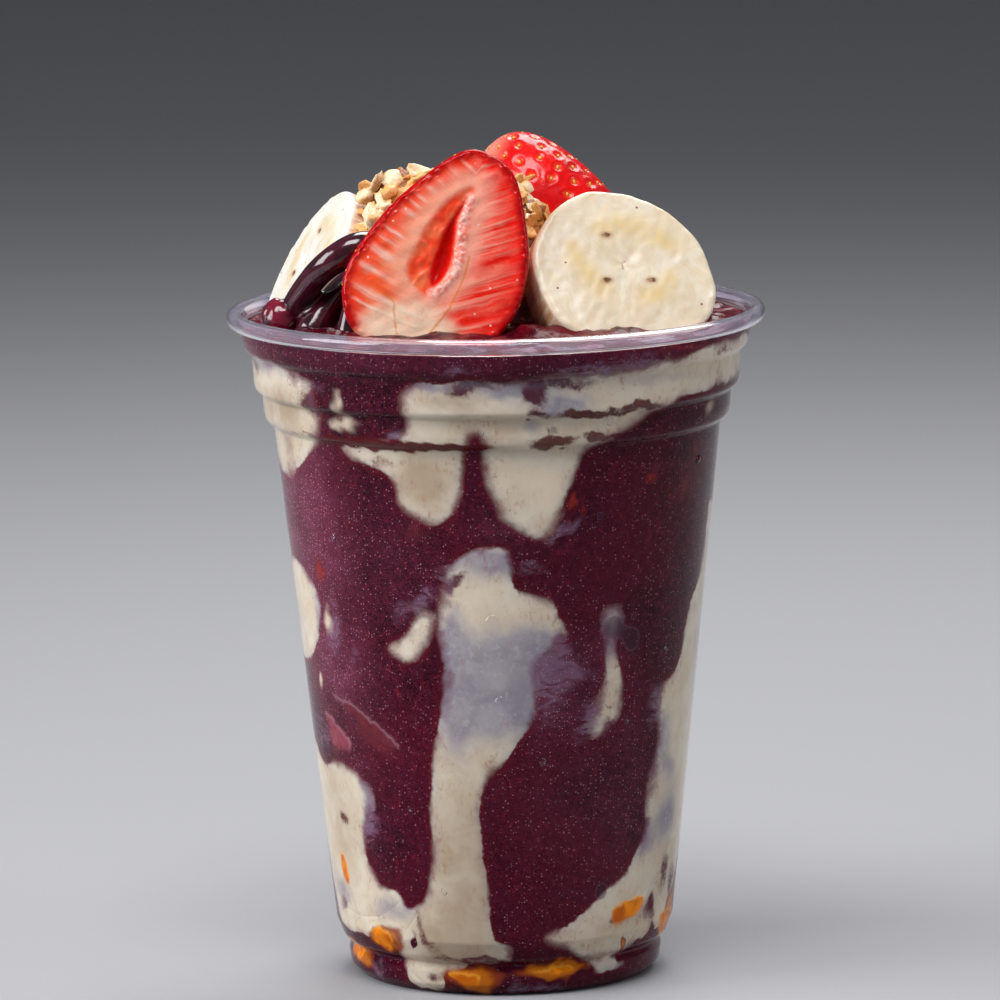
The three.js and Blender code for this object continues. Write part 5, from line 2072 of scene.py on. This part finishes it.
@dataclass
class BananaSlice:
    """A round of banana with softened edges, its face looking along -Y in its own frame.

    Attributes:
        node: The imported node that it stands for.
        outline: A few points of its face's outline.
        thick: Its thickness.
        pose: Turn, tilt and lean, in degrees.
        wet: Height in the slice's frame below which juice has stained it.
        finish: Its finish.
        columns: Points round the outline.
        rows: Rings of points on the front face.
        bevel: Radius of its softened edges.
        side_rows: Rings of points along its side.
        bulge: How far its side swells between the edges.
        hollow: Depth of the dip in the middle of its face.
        crown: How far the face stands out inside its rim.
    """

    node: str
    outline: list
    thick: float
    pose: Triple
    wet: float
    finish: BananaFinish = BananaFinish()
    columns: int = 240
    rows: int = 44
    bevel: float = 1.0
    side_rows: int = 18
    bulge: float = 0.35
    hollow: float = 0.22
    crown: float = 0.25

    def build(self) -> None:
        """Adds the slice: rings from the front face's middle, round its side, to the back's middle."""
        rim = evenly(flowing_line(self.outline, 24), self.columns)
        radius = np.linalg.norm(rim, axis=1)
        outer = []
        for turn in np.linspace(0, math.pi / 2, 8):
            outer.append((-self.bevel * (1 - math.sin(turn)), self.bevel * (1 - math.cos(turn))))
        for part in np.linspace(0, 1, self.side_rows)[1:]:
            bulge = self.bulge * math.sin(math.pi * part)
            outer.append((bulge, self.bevel + (self.thick - 2 * self.bevel) * part))
        for turn in np.linspace(math.pi / 2, 0, 8)[1:]:
            outer.append((-self.bevel * (1 - math.sin(turn)), self.thick - self.bevel * (1 - math.cos(turn))))
        heading = rim / radius[:, None]
        rings, depth, side = [], [], []
        for part in np.linspace(0.02, 1, self.rows)[:-1]:
            rings.append(heading * ((radius - self.bevel) * part)[:, None])
            depth.append(0.0)
            side.append(0.0)
        for push, y in outer:
            rings.append(heading * (radius + push)[:, None])
            depth.append(y)
            side.append(min(1.0, max(0.0, (y - 0.5) / 1.2)))
        for part in np.linspace(1, 0.04, 14)[1:]:
            rings.append(heading * ((radius - self.bevel) * part)[:, None])
            depth.append(self.thick)
            side.append(0.0)
        flat = np.vstack(rings)
        y = np.repeat(depth, self.columns)
        marks = {"side": np.repeat(side, self.columns)}
        front = (y < 0.01).astype(float)
        far = np.linalg.norm(flat, axis=1) / np.tile(radius, len(rings))
        angle = np.arctan2(flat[:, 1], flat[:, 0])
        plane = np.stack([flat[:, 0], flat[:, 1], y * 0.3], axis=1)
        lobes = 0.5 + 0.5 * np.cos(3 * (angle - 1.85))
        relief = self.hollow * smooth(0.34, 0.1, far) * (1 - 0.6 * lobes) + 0.015 * ripple(plane, 2.6, 61)
        relief += 0.05 * ripple(plane, 7.0, 62) * smooth(1.0, 0.7, far) - self.crown * smooth(0.9, 0.5, far)
        y = y + relief * front + 0.05 * ripple(plane, 2.0, 63) * (1 - front)
        count = len(flat)
        points = np.stack([flat[:, 0], y, flat[:, 1]], axis=1)
        points = np.vstack([points, [0, 0.1, 0], [0, self.thick, 0]])
        marks["ring"] = far
        above = flat[:, 1] - (self.wet + 0.2 * ripple(plane, 6.0, 64))
        stained = smooth(0.0, -1.4, above) * 0.7 + marks["side"] * smooth(5.0, -1.0, above)
        marks["wet"] = np.clip(stained, 0, 0.95)
        marks = {key: np.append(value, [0, 0]) for key, value in marks.items()}
        marks["local"] = points * [1, 0, 1]
        faces = [grid_faces(len(rings), self.columns), fan_faces(count, np.arange(self.columns))[:, ::-1]]
        faces.append(fan_faces(count + 1, np.arange(count - self.columns, count)))
        shape = Shape(points, faces, marks).outwards()
        shape.placed(self.node, turned(*self.pose))
        add_piece(self.node + "_slice", shape.mesh(self.node), self.finish.build(), [self.node])


FRONT_STRAWBERRY = Strawberry(
    "strawberry_front",
    [
        (0.9, 40.1), (6.1, 38.9), (9.6, 35.6), (13.4, 27), (14.9, 20.6), (14.6, 13.6), (11.8, 7.2),
        (7.4, 2.4), (2, 0.5), (-4, 0.2), (-10, 1.4), (-14.4, 4.6), (-16.7, 9.6), (-16.8, 14.2),
        (-15, 20), (-11.6, 27), (-7.2, 33.2), (-3.0, 38),
    ],
    (-0.6, 20.0), 12.5, (4, 14, 15),
)
BACK_STRAWBERRY = Strawberry(
    "strawberry_back",
    [
        (0, 33), (3.4, 31.4), (6.6, 26.6), (10, 19), (12, 10.6), (11, 4.2), (6.6, 0.7), (0, 0),
        (-6.6, 0.7), (-11, 4.2), (-12, 10.6), (-10, 19), (-6.6, 26.6), (-3.4, 31.4),
    ],
    (0.0, 14.0), 11.0, (184, -22, -116),
)
FRONT_BANANA = BananaSlice(
    "banana_front",
    [
        (-16.3, 2.6), (-13.4, 8.7), (-9.9, 12.6), (-4.6, 15.2), (0.2, 15.0), (4.4, 13.9), (8.9, 11.4),
        (12.4, 8.0), (15.1, 3.6), (16.2, -1.8), (16.4, -6.6), (13.6, -11.8), (7, -15.2), (0, -16),
        (-7, -15), (-12.6, -11.2), (-15.6, -4.6),
    ],
    10.0, (14, 34, 0), -14.2,
)
LEFT_BANANA = BananaSlice(
    "banana_left",
    [(15.2 * math.cos(a), 14.9 * math.sin(a)) for a in np.radians(np.arange(0, 360, 30))],
    9.0, (-76, 31, 0), -10.0, BananaFinish("banana_flesh_pale", shade(252, 248, 240), shade(246, 238, 224)),
)


# ---- granola, dollop, berry, drops


@dataclass(frozen=True)
class GranolaFinish:
    """Toasted oats and nuts: pale golden, browner at the edges and in some pieces, and dark brown on the core
    as painted shade.
    """

    pale: Colour = shade(255, 232, 194)
    golden: Colour = shade(238, 178, 104)
    brown: Colour = shade(150, 84, 32)

    def build(self) -> Material:
        """Wires the nodes, which read each piece's own tone.

        Returns:
            The material.
        """
        g = ShaderGraph("granola")
        place = g.place()
        fine, middle = g.noise(place, 0.7, 3, 0.6), g.noise(place, 2.4, 2)
        tone = g.plus(g.mark("tone"), g.times(g.less(middle, 0.5), 0.9))
        base = g.mix(g.rise(tone, 0.2, 0.5), self.pale, self.golden)
        base = g.over(base, self.brown, tone, 0.68, 0.98)
        base = g.over(base, self.brown, fine, 0.62, 0.78, 0, 0.35)
        return g.finish(base, 0.34, g.bump(fine, 0.3), Specular_IOR_Level=0.5)


@dataclass
class Granola:
    """A heap of oat flakes and nut pieces over a lumpy core.

    Attributes:
        hub: A point inside the heap, from which its surface is measured.
        mounds: Middle and half sizes of the two mounds that the heap is made of.
        shrink: How much smaller the core is than the heap.
        bits: How many pieces lie on it.
        flakes: How many of the nine kinds of piece are flakes.
        flake: Half sizes of an oat flake.
        nut: Half sizes of a nut piece.
        core_low: Height at which the core ends in the puree.
        bits_low: Height above which pieces lie.
        seated: How much of the way to the surface each piece's middle is, least and most.
    """

    hub: Triple = (-10.0, 5.0, 128.0)
    mounds: tuple = (((-3, 7, 124), (22, 18, 22.5)), ((-16, 4, 134), (10.5, 11, 14)))
    shrink: float = 0.86
    bits: int = 520
    flakes: int = 6
    flake: Triple = (2.9, 1.5, 0.5)
    nut: Triple = (1.9, 1.5, 1.15)
    core_low: float = 119.0
    bits_low: float = 122.5
    seated: Pair = (0.82, 0.97)

    def reach(self, heading: Array) -> Array:
        """Measures the heap from its hub.

        Args:
            heading: Unit directions, one row each.

        Returns:
            How far its surface is in each direction.
        """
        furthest = np.zeros(len(heading))
        for middle, half in self.mounds:
            start = (np.array(self.hub) - middle) / half
            step = heading / half
            a = (step**2).sum(1)
            b = step @ start
            c = start @ start - 1
            furthest = np.maximum(furthest, (-b + np.sqrt(np.maximum(b * b - a * c, 0))) / a)
        return furthest

    def core(self) -> Shape:
        """Makes the lumpy core, sunk into the puree.

        Returns:
            The closed shape.
        """
        base = ball(60, 128)
        heading = base.points / np.linalg.norm(base.points, axis=1, keepdims=True)
        far = self.reach(heading) * self.shrink
        points = np.array(self.hub) + heading * far[:, None]
        lump = 0.9 * ripple(points, 5.0, 71) + 0.5 * np.abs(ripple(points, 2.2, 72))
        points += heading * (lump - 0.6)[:, None]
        points[:, 2] = np.maximum(points[:, 2], self.core_low)
        # The core's tone makes it mostly dark brown: painted shade in the gaps between the pieces.
        marks = {"tone": 0.95 + 0.2 * ripple(points, 4.0, 73)}
        return Shape(points, base.faces, marks).outwards()

    def shapes(self) -> list[Shape]:
        """Makes the kinds of piece.

        Returns:
            Curled oat flakes, then blunt nut pieces.
        """
        draw = np.random.default_rng(74)
        kinds = []
        for k in range(9):
            piece = ball(7, 12)
            points = piece.points
            flake = k < self.flakes
            half = np.array(self.flake if flake else self.nut)
            half = half * draw.uniform(0.85, 1.15, 3)
            points = np.sign(points) * np.abs(points) ** (0.9 if flake else 0.8) * half
            if flake:
                points[:, 2] += draw.uniform(0.06, 0.16) * points[:, 0] ** 2 - 0.3
                points[:, 2] += draw.uniform(-0.12, 0.28) * points[:, 1] ** 2
                points[:, 2] -= 0.3 * np.exp(-((points[:, 1] / 0.35) ** 2)) * (points[:, 2] > 0)
            size = 2.0 if flake else 1.8
            points += piece.points * (0.22 * ripple(points + k * 9, size, 75 + k))[:, None]
            edge = np.abs(points[:, 0]) / half[0]
            tone = draw.uniform(-0.15, 0.5) + 0.35 * edge**2
            kinds.append(Shape(points, piece.faces, {"tone": tone}))
        return kinds

    def build(self) -> None:
        """Adds the core and the pieces on it."""
        finish = GranolaFinish().build()
        add_piece("granola_core", self.core().mesh("granola_core"), finish, ["granola_heap"])
        draw = np.random.default_rng(76)
        heading = draw.normal(size=(self.bits * 3, 3))
        heading /= np.linalg.norm(heading, axis=1, keepdims=True)
        heading = heading[heading[:, 2] > -0.25]
        far = self.reach(heading) * draw.uniform(*self.seated, len(heading))
        points = np.array(self.hub) + heading * far[:, None]
        keep = points[:, 2] > self.bits_low
        points, heading = points[keep][: self.bits], heading[keep][: self.bits]
        count = len(points)
        lean = heading + draw.normal(size=(count, 3)) * 0.55
        lean /= np.linalg.norm(lean, axis=1, keepdims=True)
        size = draw.uniform(0.65, 1.2, (count, 1)) * np.ones((count, 3))
        loose = Loose(
            "granola_pieces", self.shapes(), points, lean, draw.uniform(0, 6.28, count), size,
            draw.integers(0, 9, count),
        )
        loose.build(finish, Slot.GRANOLA)


@dataclass(frozen=True)
class GlossyPureeFinish:
    """Thick dark puree with a wet shine."""

    wine: Colour = shade(74, 16, 34)
    deep: Colour = shade(42, 8, 22)

    def build(self) -> Material:
        """Wires the nodes.

        Returns:
            The material.
        """
        g = ShaderGraph("glossy_puree")
        place = g.place()
        fine, middle = g.noise(place, 0.9, 3, 0.6), g.noise(place, 3.5, 2)
        base = g.mix(g.rise(middle, 0.35, 0.65), self.deep, self.wine)
        base = g.over(base, shade(120, 60, 80), fine, 0.6, 0.78, 0, 0.3)
        return g.finish(
            base, 0.14, g.bump(middle, 0.15), Specular_IOR_Level=0.6, Coat_Weight=0.5, Coat_Roughness=0.05
        )


@dataclass
class Dollop:
    """A soft arch of thick puree: a broad outer lobe, a thin inner finger and a low foot.

    Attributes:
        lobes: Chains of places, each with its radius, that the arch is blended from.
        voxel: Size of the cells that blend them.
        softening: How many times the surface is evened out.
    """

    lobes: tuple = (
        ((-17, -13, 133.0, 2.6), (-20.5, -14.5, 134.8, 2.9), (-25, -17.5, 135.0, 2.9),
         (-30.2, -17.6, 132.0, 2.6), (-34.0, -13.6, 127.4, 2.5), (-36.8, -9.6, 122.2, 2.7)),
        ((-23, -17.5, 133.8, 2.4), (-24.6, -20.2, 130, 2.0), (-25.6, -21.9, 125.4, 1.8),
         (-26.2, -22.6, 121.0, 2.3)),
        ((-22, -9, 130.0, 3.0), (-27, -10.5, 127.0, 2.8), (-31, -12.5, 122.6, 3.0), (-33, -14, 119.6, 3.2)),
        ((-34.5, -20, 119.2, 2.4), (-30, -23.5, 118.6, 2.2), (-26, -24.5, 118.5, 2.0)),
    )
    voxel: float = 0.42
    softening: int = 14

    def build(self) -> None:
        """Blends the chains into one smooth piece and adds it."""
        unit = ball(14, 24)
        points, faces, total = [], [], 0
        for lobe in self.lobes:
            chain = flowing_line([list(link) for link in lobe], 9, False)
            for link in chain:
                points.append(unit.points * link[3] + link[:3])
                faces.append([group + total for group in unit.faces])
                total += len(unit.points)
        merged = [np.vstack([group[k] for group in faces]) for k in range(len(unit.faces))]
        mesh = Shape(np.vstack(points), merged).mesh("dollop_chain")
        carrier = put("dollop_carrier", mesh)
        remesh = carrier.modifiers.new("blend", "REMESH")
        remesh.mode = "VOXEL"
        remesh.voxel_size = self.voxel * MM
        soften = carrier.modifiers.new("soften", "SMOOTH")
        soften.factor = 0.5
        soften.iterations = self.softening
        result = evaluated(carrier, "acai_dollop")
        result.materials.clear()
        add_piece("acai_dollop_arch", result, GlossyPureeFinish().build(), ["acai_dollop"])


@dataclass
class Berry:
    """A small dark berry, half sunk and slightly dented.

    Attributes:
        dent: Depth and radius of the dent in its top.
        finish: Its finish.
    """

    dent: Pair = (0.5, 1.2)
    finish: PlainFinish = PlainFinish("berry_skin", shade(120, 20, 44), shade(56, 10, 28), 0.12, 3.0, 0.5)

    def build(self) -> None:
        """Adds the berry, filling its node's box."""
        low, high = (np.array(corner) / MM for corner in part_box("berry"))
        base = ball(40, 64)
        heading = base.points.copy()
        points = heading * (high - low) / 2 * 0.98
        points += heading * (0.12 * ripple(points, 3.0, 81))[:, None]
        depth, reach = self.dent
        away = np.hypot(points[:, 0] - 0.6, points[:, 1]) / reach
        points[:, 2] -= depth * np.exp(-(away**2)) * (heading[:, 2] > 0)
        shape = Shape(points + (low + high) / 2, base.faces).outwards()
        add_piece("dark_berry", shape.mesh("dark_berry"), self.finish.build(), ["berry"])


@dataclass
class Drops:
    """Beads of water on the outside of the cup.

    Attributes:
        on_wall: Angle, height and radius of each.
        sunk: How far each one's middle is inside the wall.
    """

    on_wall: tuple = (
        (-2.0, 69.6, 2.2), (0.0, 54.8, 1.9), (-4, 105.0, 0.7), (28, 106, 0.8), (33, 108.5, 0.7),
        (-38, 101.0, 0.8), (-57, 112, 0.7), (12, 44, 0.8), (55, 62, 0.7), (-30, 35, 0.7), (64, 96, 1.0),
        (40, 50, 0.6), (-20, 20, 0.7), (-50, 84, 0.8), (150, 80, 1.4), (185, 60, 1.2), (220, 96, 1.0),
    )
    sunk: float = 0.12

    def build(self) -> None:
        """Adds the beads, each flattened against the wall."""
        angle, height, radius = (np.array(column, float) for column in zip(*self.on_wall))
        points = WALL.place(angle, height, self.sunk)
        aim = points * [1, 1, 0]
        aim /= np.linalg.norm(aim, axis=1, keepdims=True)
        size = radius[:, None] * [0.8, 1.0, 0.42]
        loose = Loose("wall_drops", [ball(14, 24)], points, aim, 0 * radius, size, 0 * radius)
        water = ClearFinish("clear_water", 1.4, 1.0, shade(250, 250, 252), 0.0, 0.6)
        loose.build(water.build(), Slot.PLASTIC)


# ---- studio


@dataclass
class Lamp:
    """A soft rectangular lamp: place, aim and size in metres, power and colour."""

    name: str
    place: Triple
    aim: Triple
    size: Pair
    power: float
    colour: Triple = (1.0, 1.0, 1.0)

    def build(self) -> None:
        """Adds the lamp, facing its aim."""
        light = bpy.data.lights.new(self.name, "AREA")
        light.shape = "RECTANGLE"
        light.size, light.size_y = self.size
        light.energy = self.power
        light.color = self.colour
        lamp = put(self.name, light)
        lamp.location = self.place
        heading = Vector(self.aim) - Vector(self.place)
        lamp.rotation_euler = heading.to_track_quat("-Z", "Y").to_euler()


@dataclass
class Studio:
    """The pale floor, the soft lamps, the grey surroundings and the camera.

    Attributes:
        aim: The point that the camera looks at, in metres.
        distance: How far the camera is from it, in metres.
        elevation: How far the camera looks down, in degrees.
        roll: How far it is turned about its own axis, in degrees.
        lens: Its focal length.
        glow: Strength of the light from all around.
        lamps: The soft lamps.
    """

    aim: Triple = (0.00026, 0.0, 0.0864)
    distance: float = 1.4574
    elevation: float = 8.77
    roll: float = 0.872
    lens: float = 288.2
    glow: float = 0.22
    lamps: tuple = (
        Lamp("key_left", (-0.72, -0.22, 0.5), (0, 0, 0.1), (0.5, 0.5), 5.4),
        Lamp("top_front", (-0.05, -0.35, 0.85), (0, 0, 0.13), (0.45, 0.35), 4.4),
        Lamp("top_back", (0.15, 0.45, 0.7), (0, 0, 0.12), (0.5, 0.4), 4.2),
        Lamp("fill_right", (0.85, -0.3, 0.35), (0, 0, 0.1), (0.3, 0.6), 1.4),
    )

    def floor(self) -> None:
        """Adds a pale floor that curves up far behind the cup."""
        half, bend = 2.4, 0.5
        turn = np.linspace(0, math.pi / 2, 17)
        run = [(-2.0, 0.0)] + [(2.0 + bend * math.sin(a), bend * (1 - math.cos(a))) for a in turn]
        run += [(2.0 + bend, 2.2)]
        points = np.array([(x, y, z) for y, z in run for x in (-half, half)]) / MM
        mesh = Shape(points, [grid_faces(len(run), 2, False)]).mesh("floor")
        g = ShaderGraph("floor_paper")
        mesh.materials.append(g.finish(shade(170, 170, 174), 0.8, Specular_IOR_Level=0.2))
        floor = put("floor", mesh)

    def camera(self) -> None:
        """Adds the camera, level with the front of the cup and a little above it."""
        rise = math.radians(self.elevation)
        back = Vector((0, -math.cos(rise), math.sin(rise)))
        data = bpy.data.cameras.new("camera")
        data.lens = self.lens
        data.sensor_width = 36.0
        data.clip_start = 0.05
        camera = put("camera", data)
        look = back.to_track_quat("Z", "Y").to_matrix().to_4x4()
        spin = Matrix.Rotation(math.radians(-self.roll), 4, "Z")
        camera.matrix_world = Matrix.Translation(Vector(self.aim) + back * self.distance) @ look @ spin
        bpy.context.scene.camera = camera

    def build(self) -> None:
        """Adds everything, and keeps colours plain."""
        scene = bpy.context.scene
        scene.view_settings.view_transform = "Standard"
        world = bpy.data.worlds.new("studio")
        world.use_nodes = True
        sky = world.node_tree.nodes["Background"]
        sky.inputs["Color"].default_value = shade(200, 203, 208)
        sky.inputs["Strength"].default_value = self.glow
        scene.world = world
        self.floor()
        for lamp in self.lamps:
            lamp.build()
        self.camera()


def main() -> None:
    """Builds the studio, the cup, what fills it and what tops it, in order."""
    logging.basicConfig(level=logging.INFO, format="%(name)s: %(message)s")
    paint = WallPaint()
    parts = [Studio(), Cup(), Puree(paint), Fillings(paint), FRONT_STRAWBERRY, BACK_STRAWBERRY]
    parts += [FRONT_BANANA, LEFT_BANANA, Granola(), Dollop(), Berry(), Drops()]
    for part in parts:
        part.build()


if __name__ == "__main__":
    main()
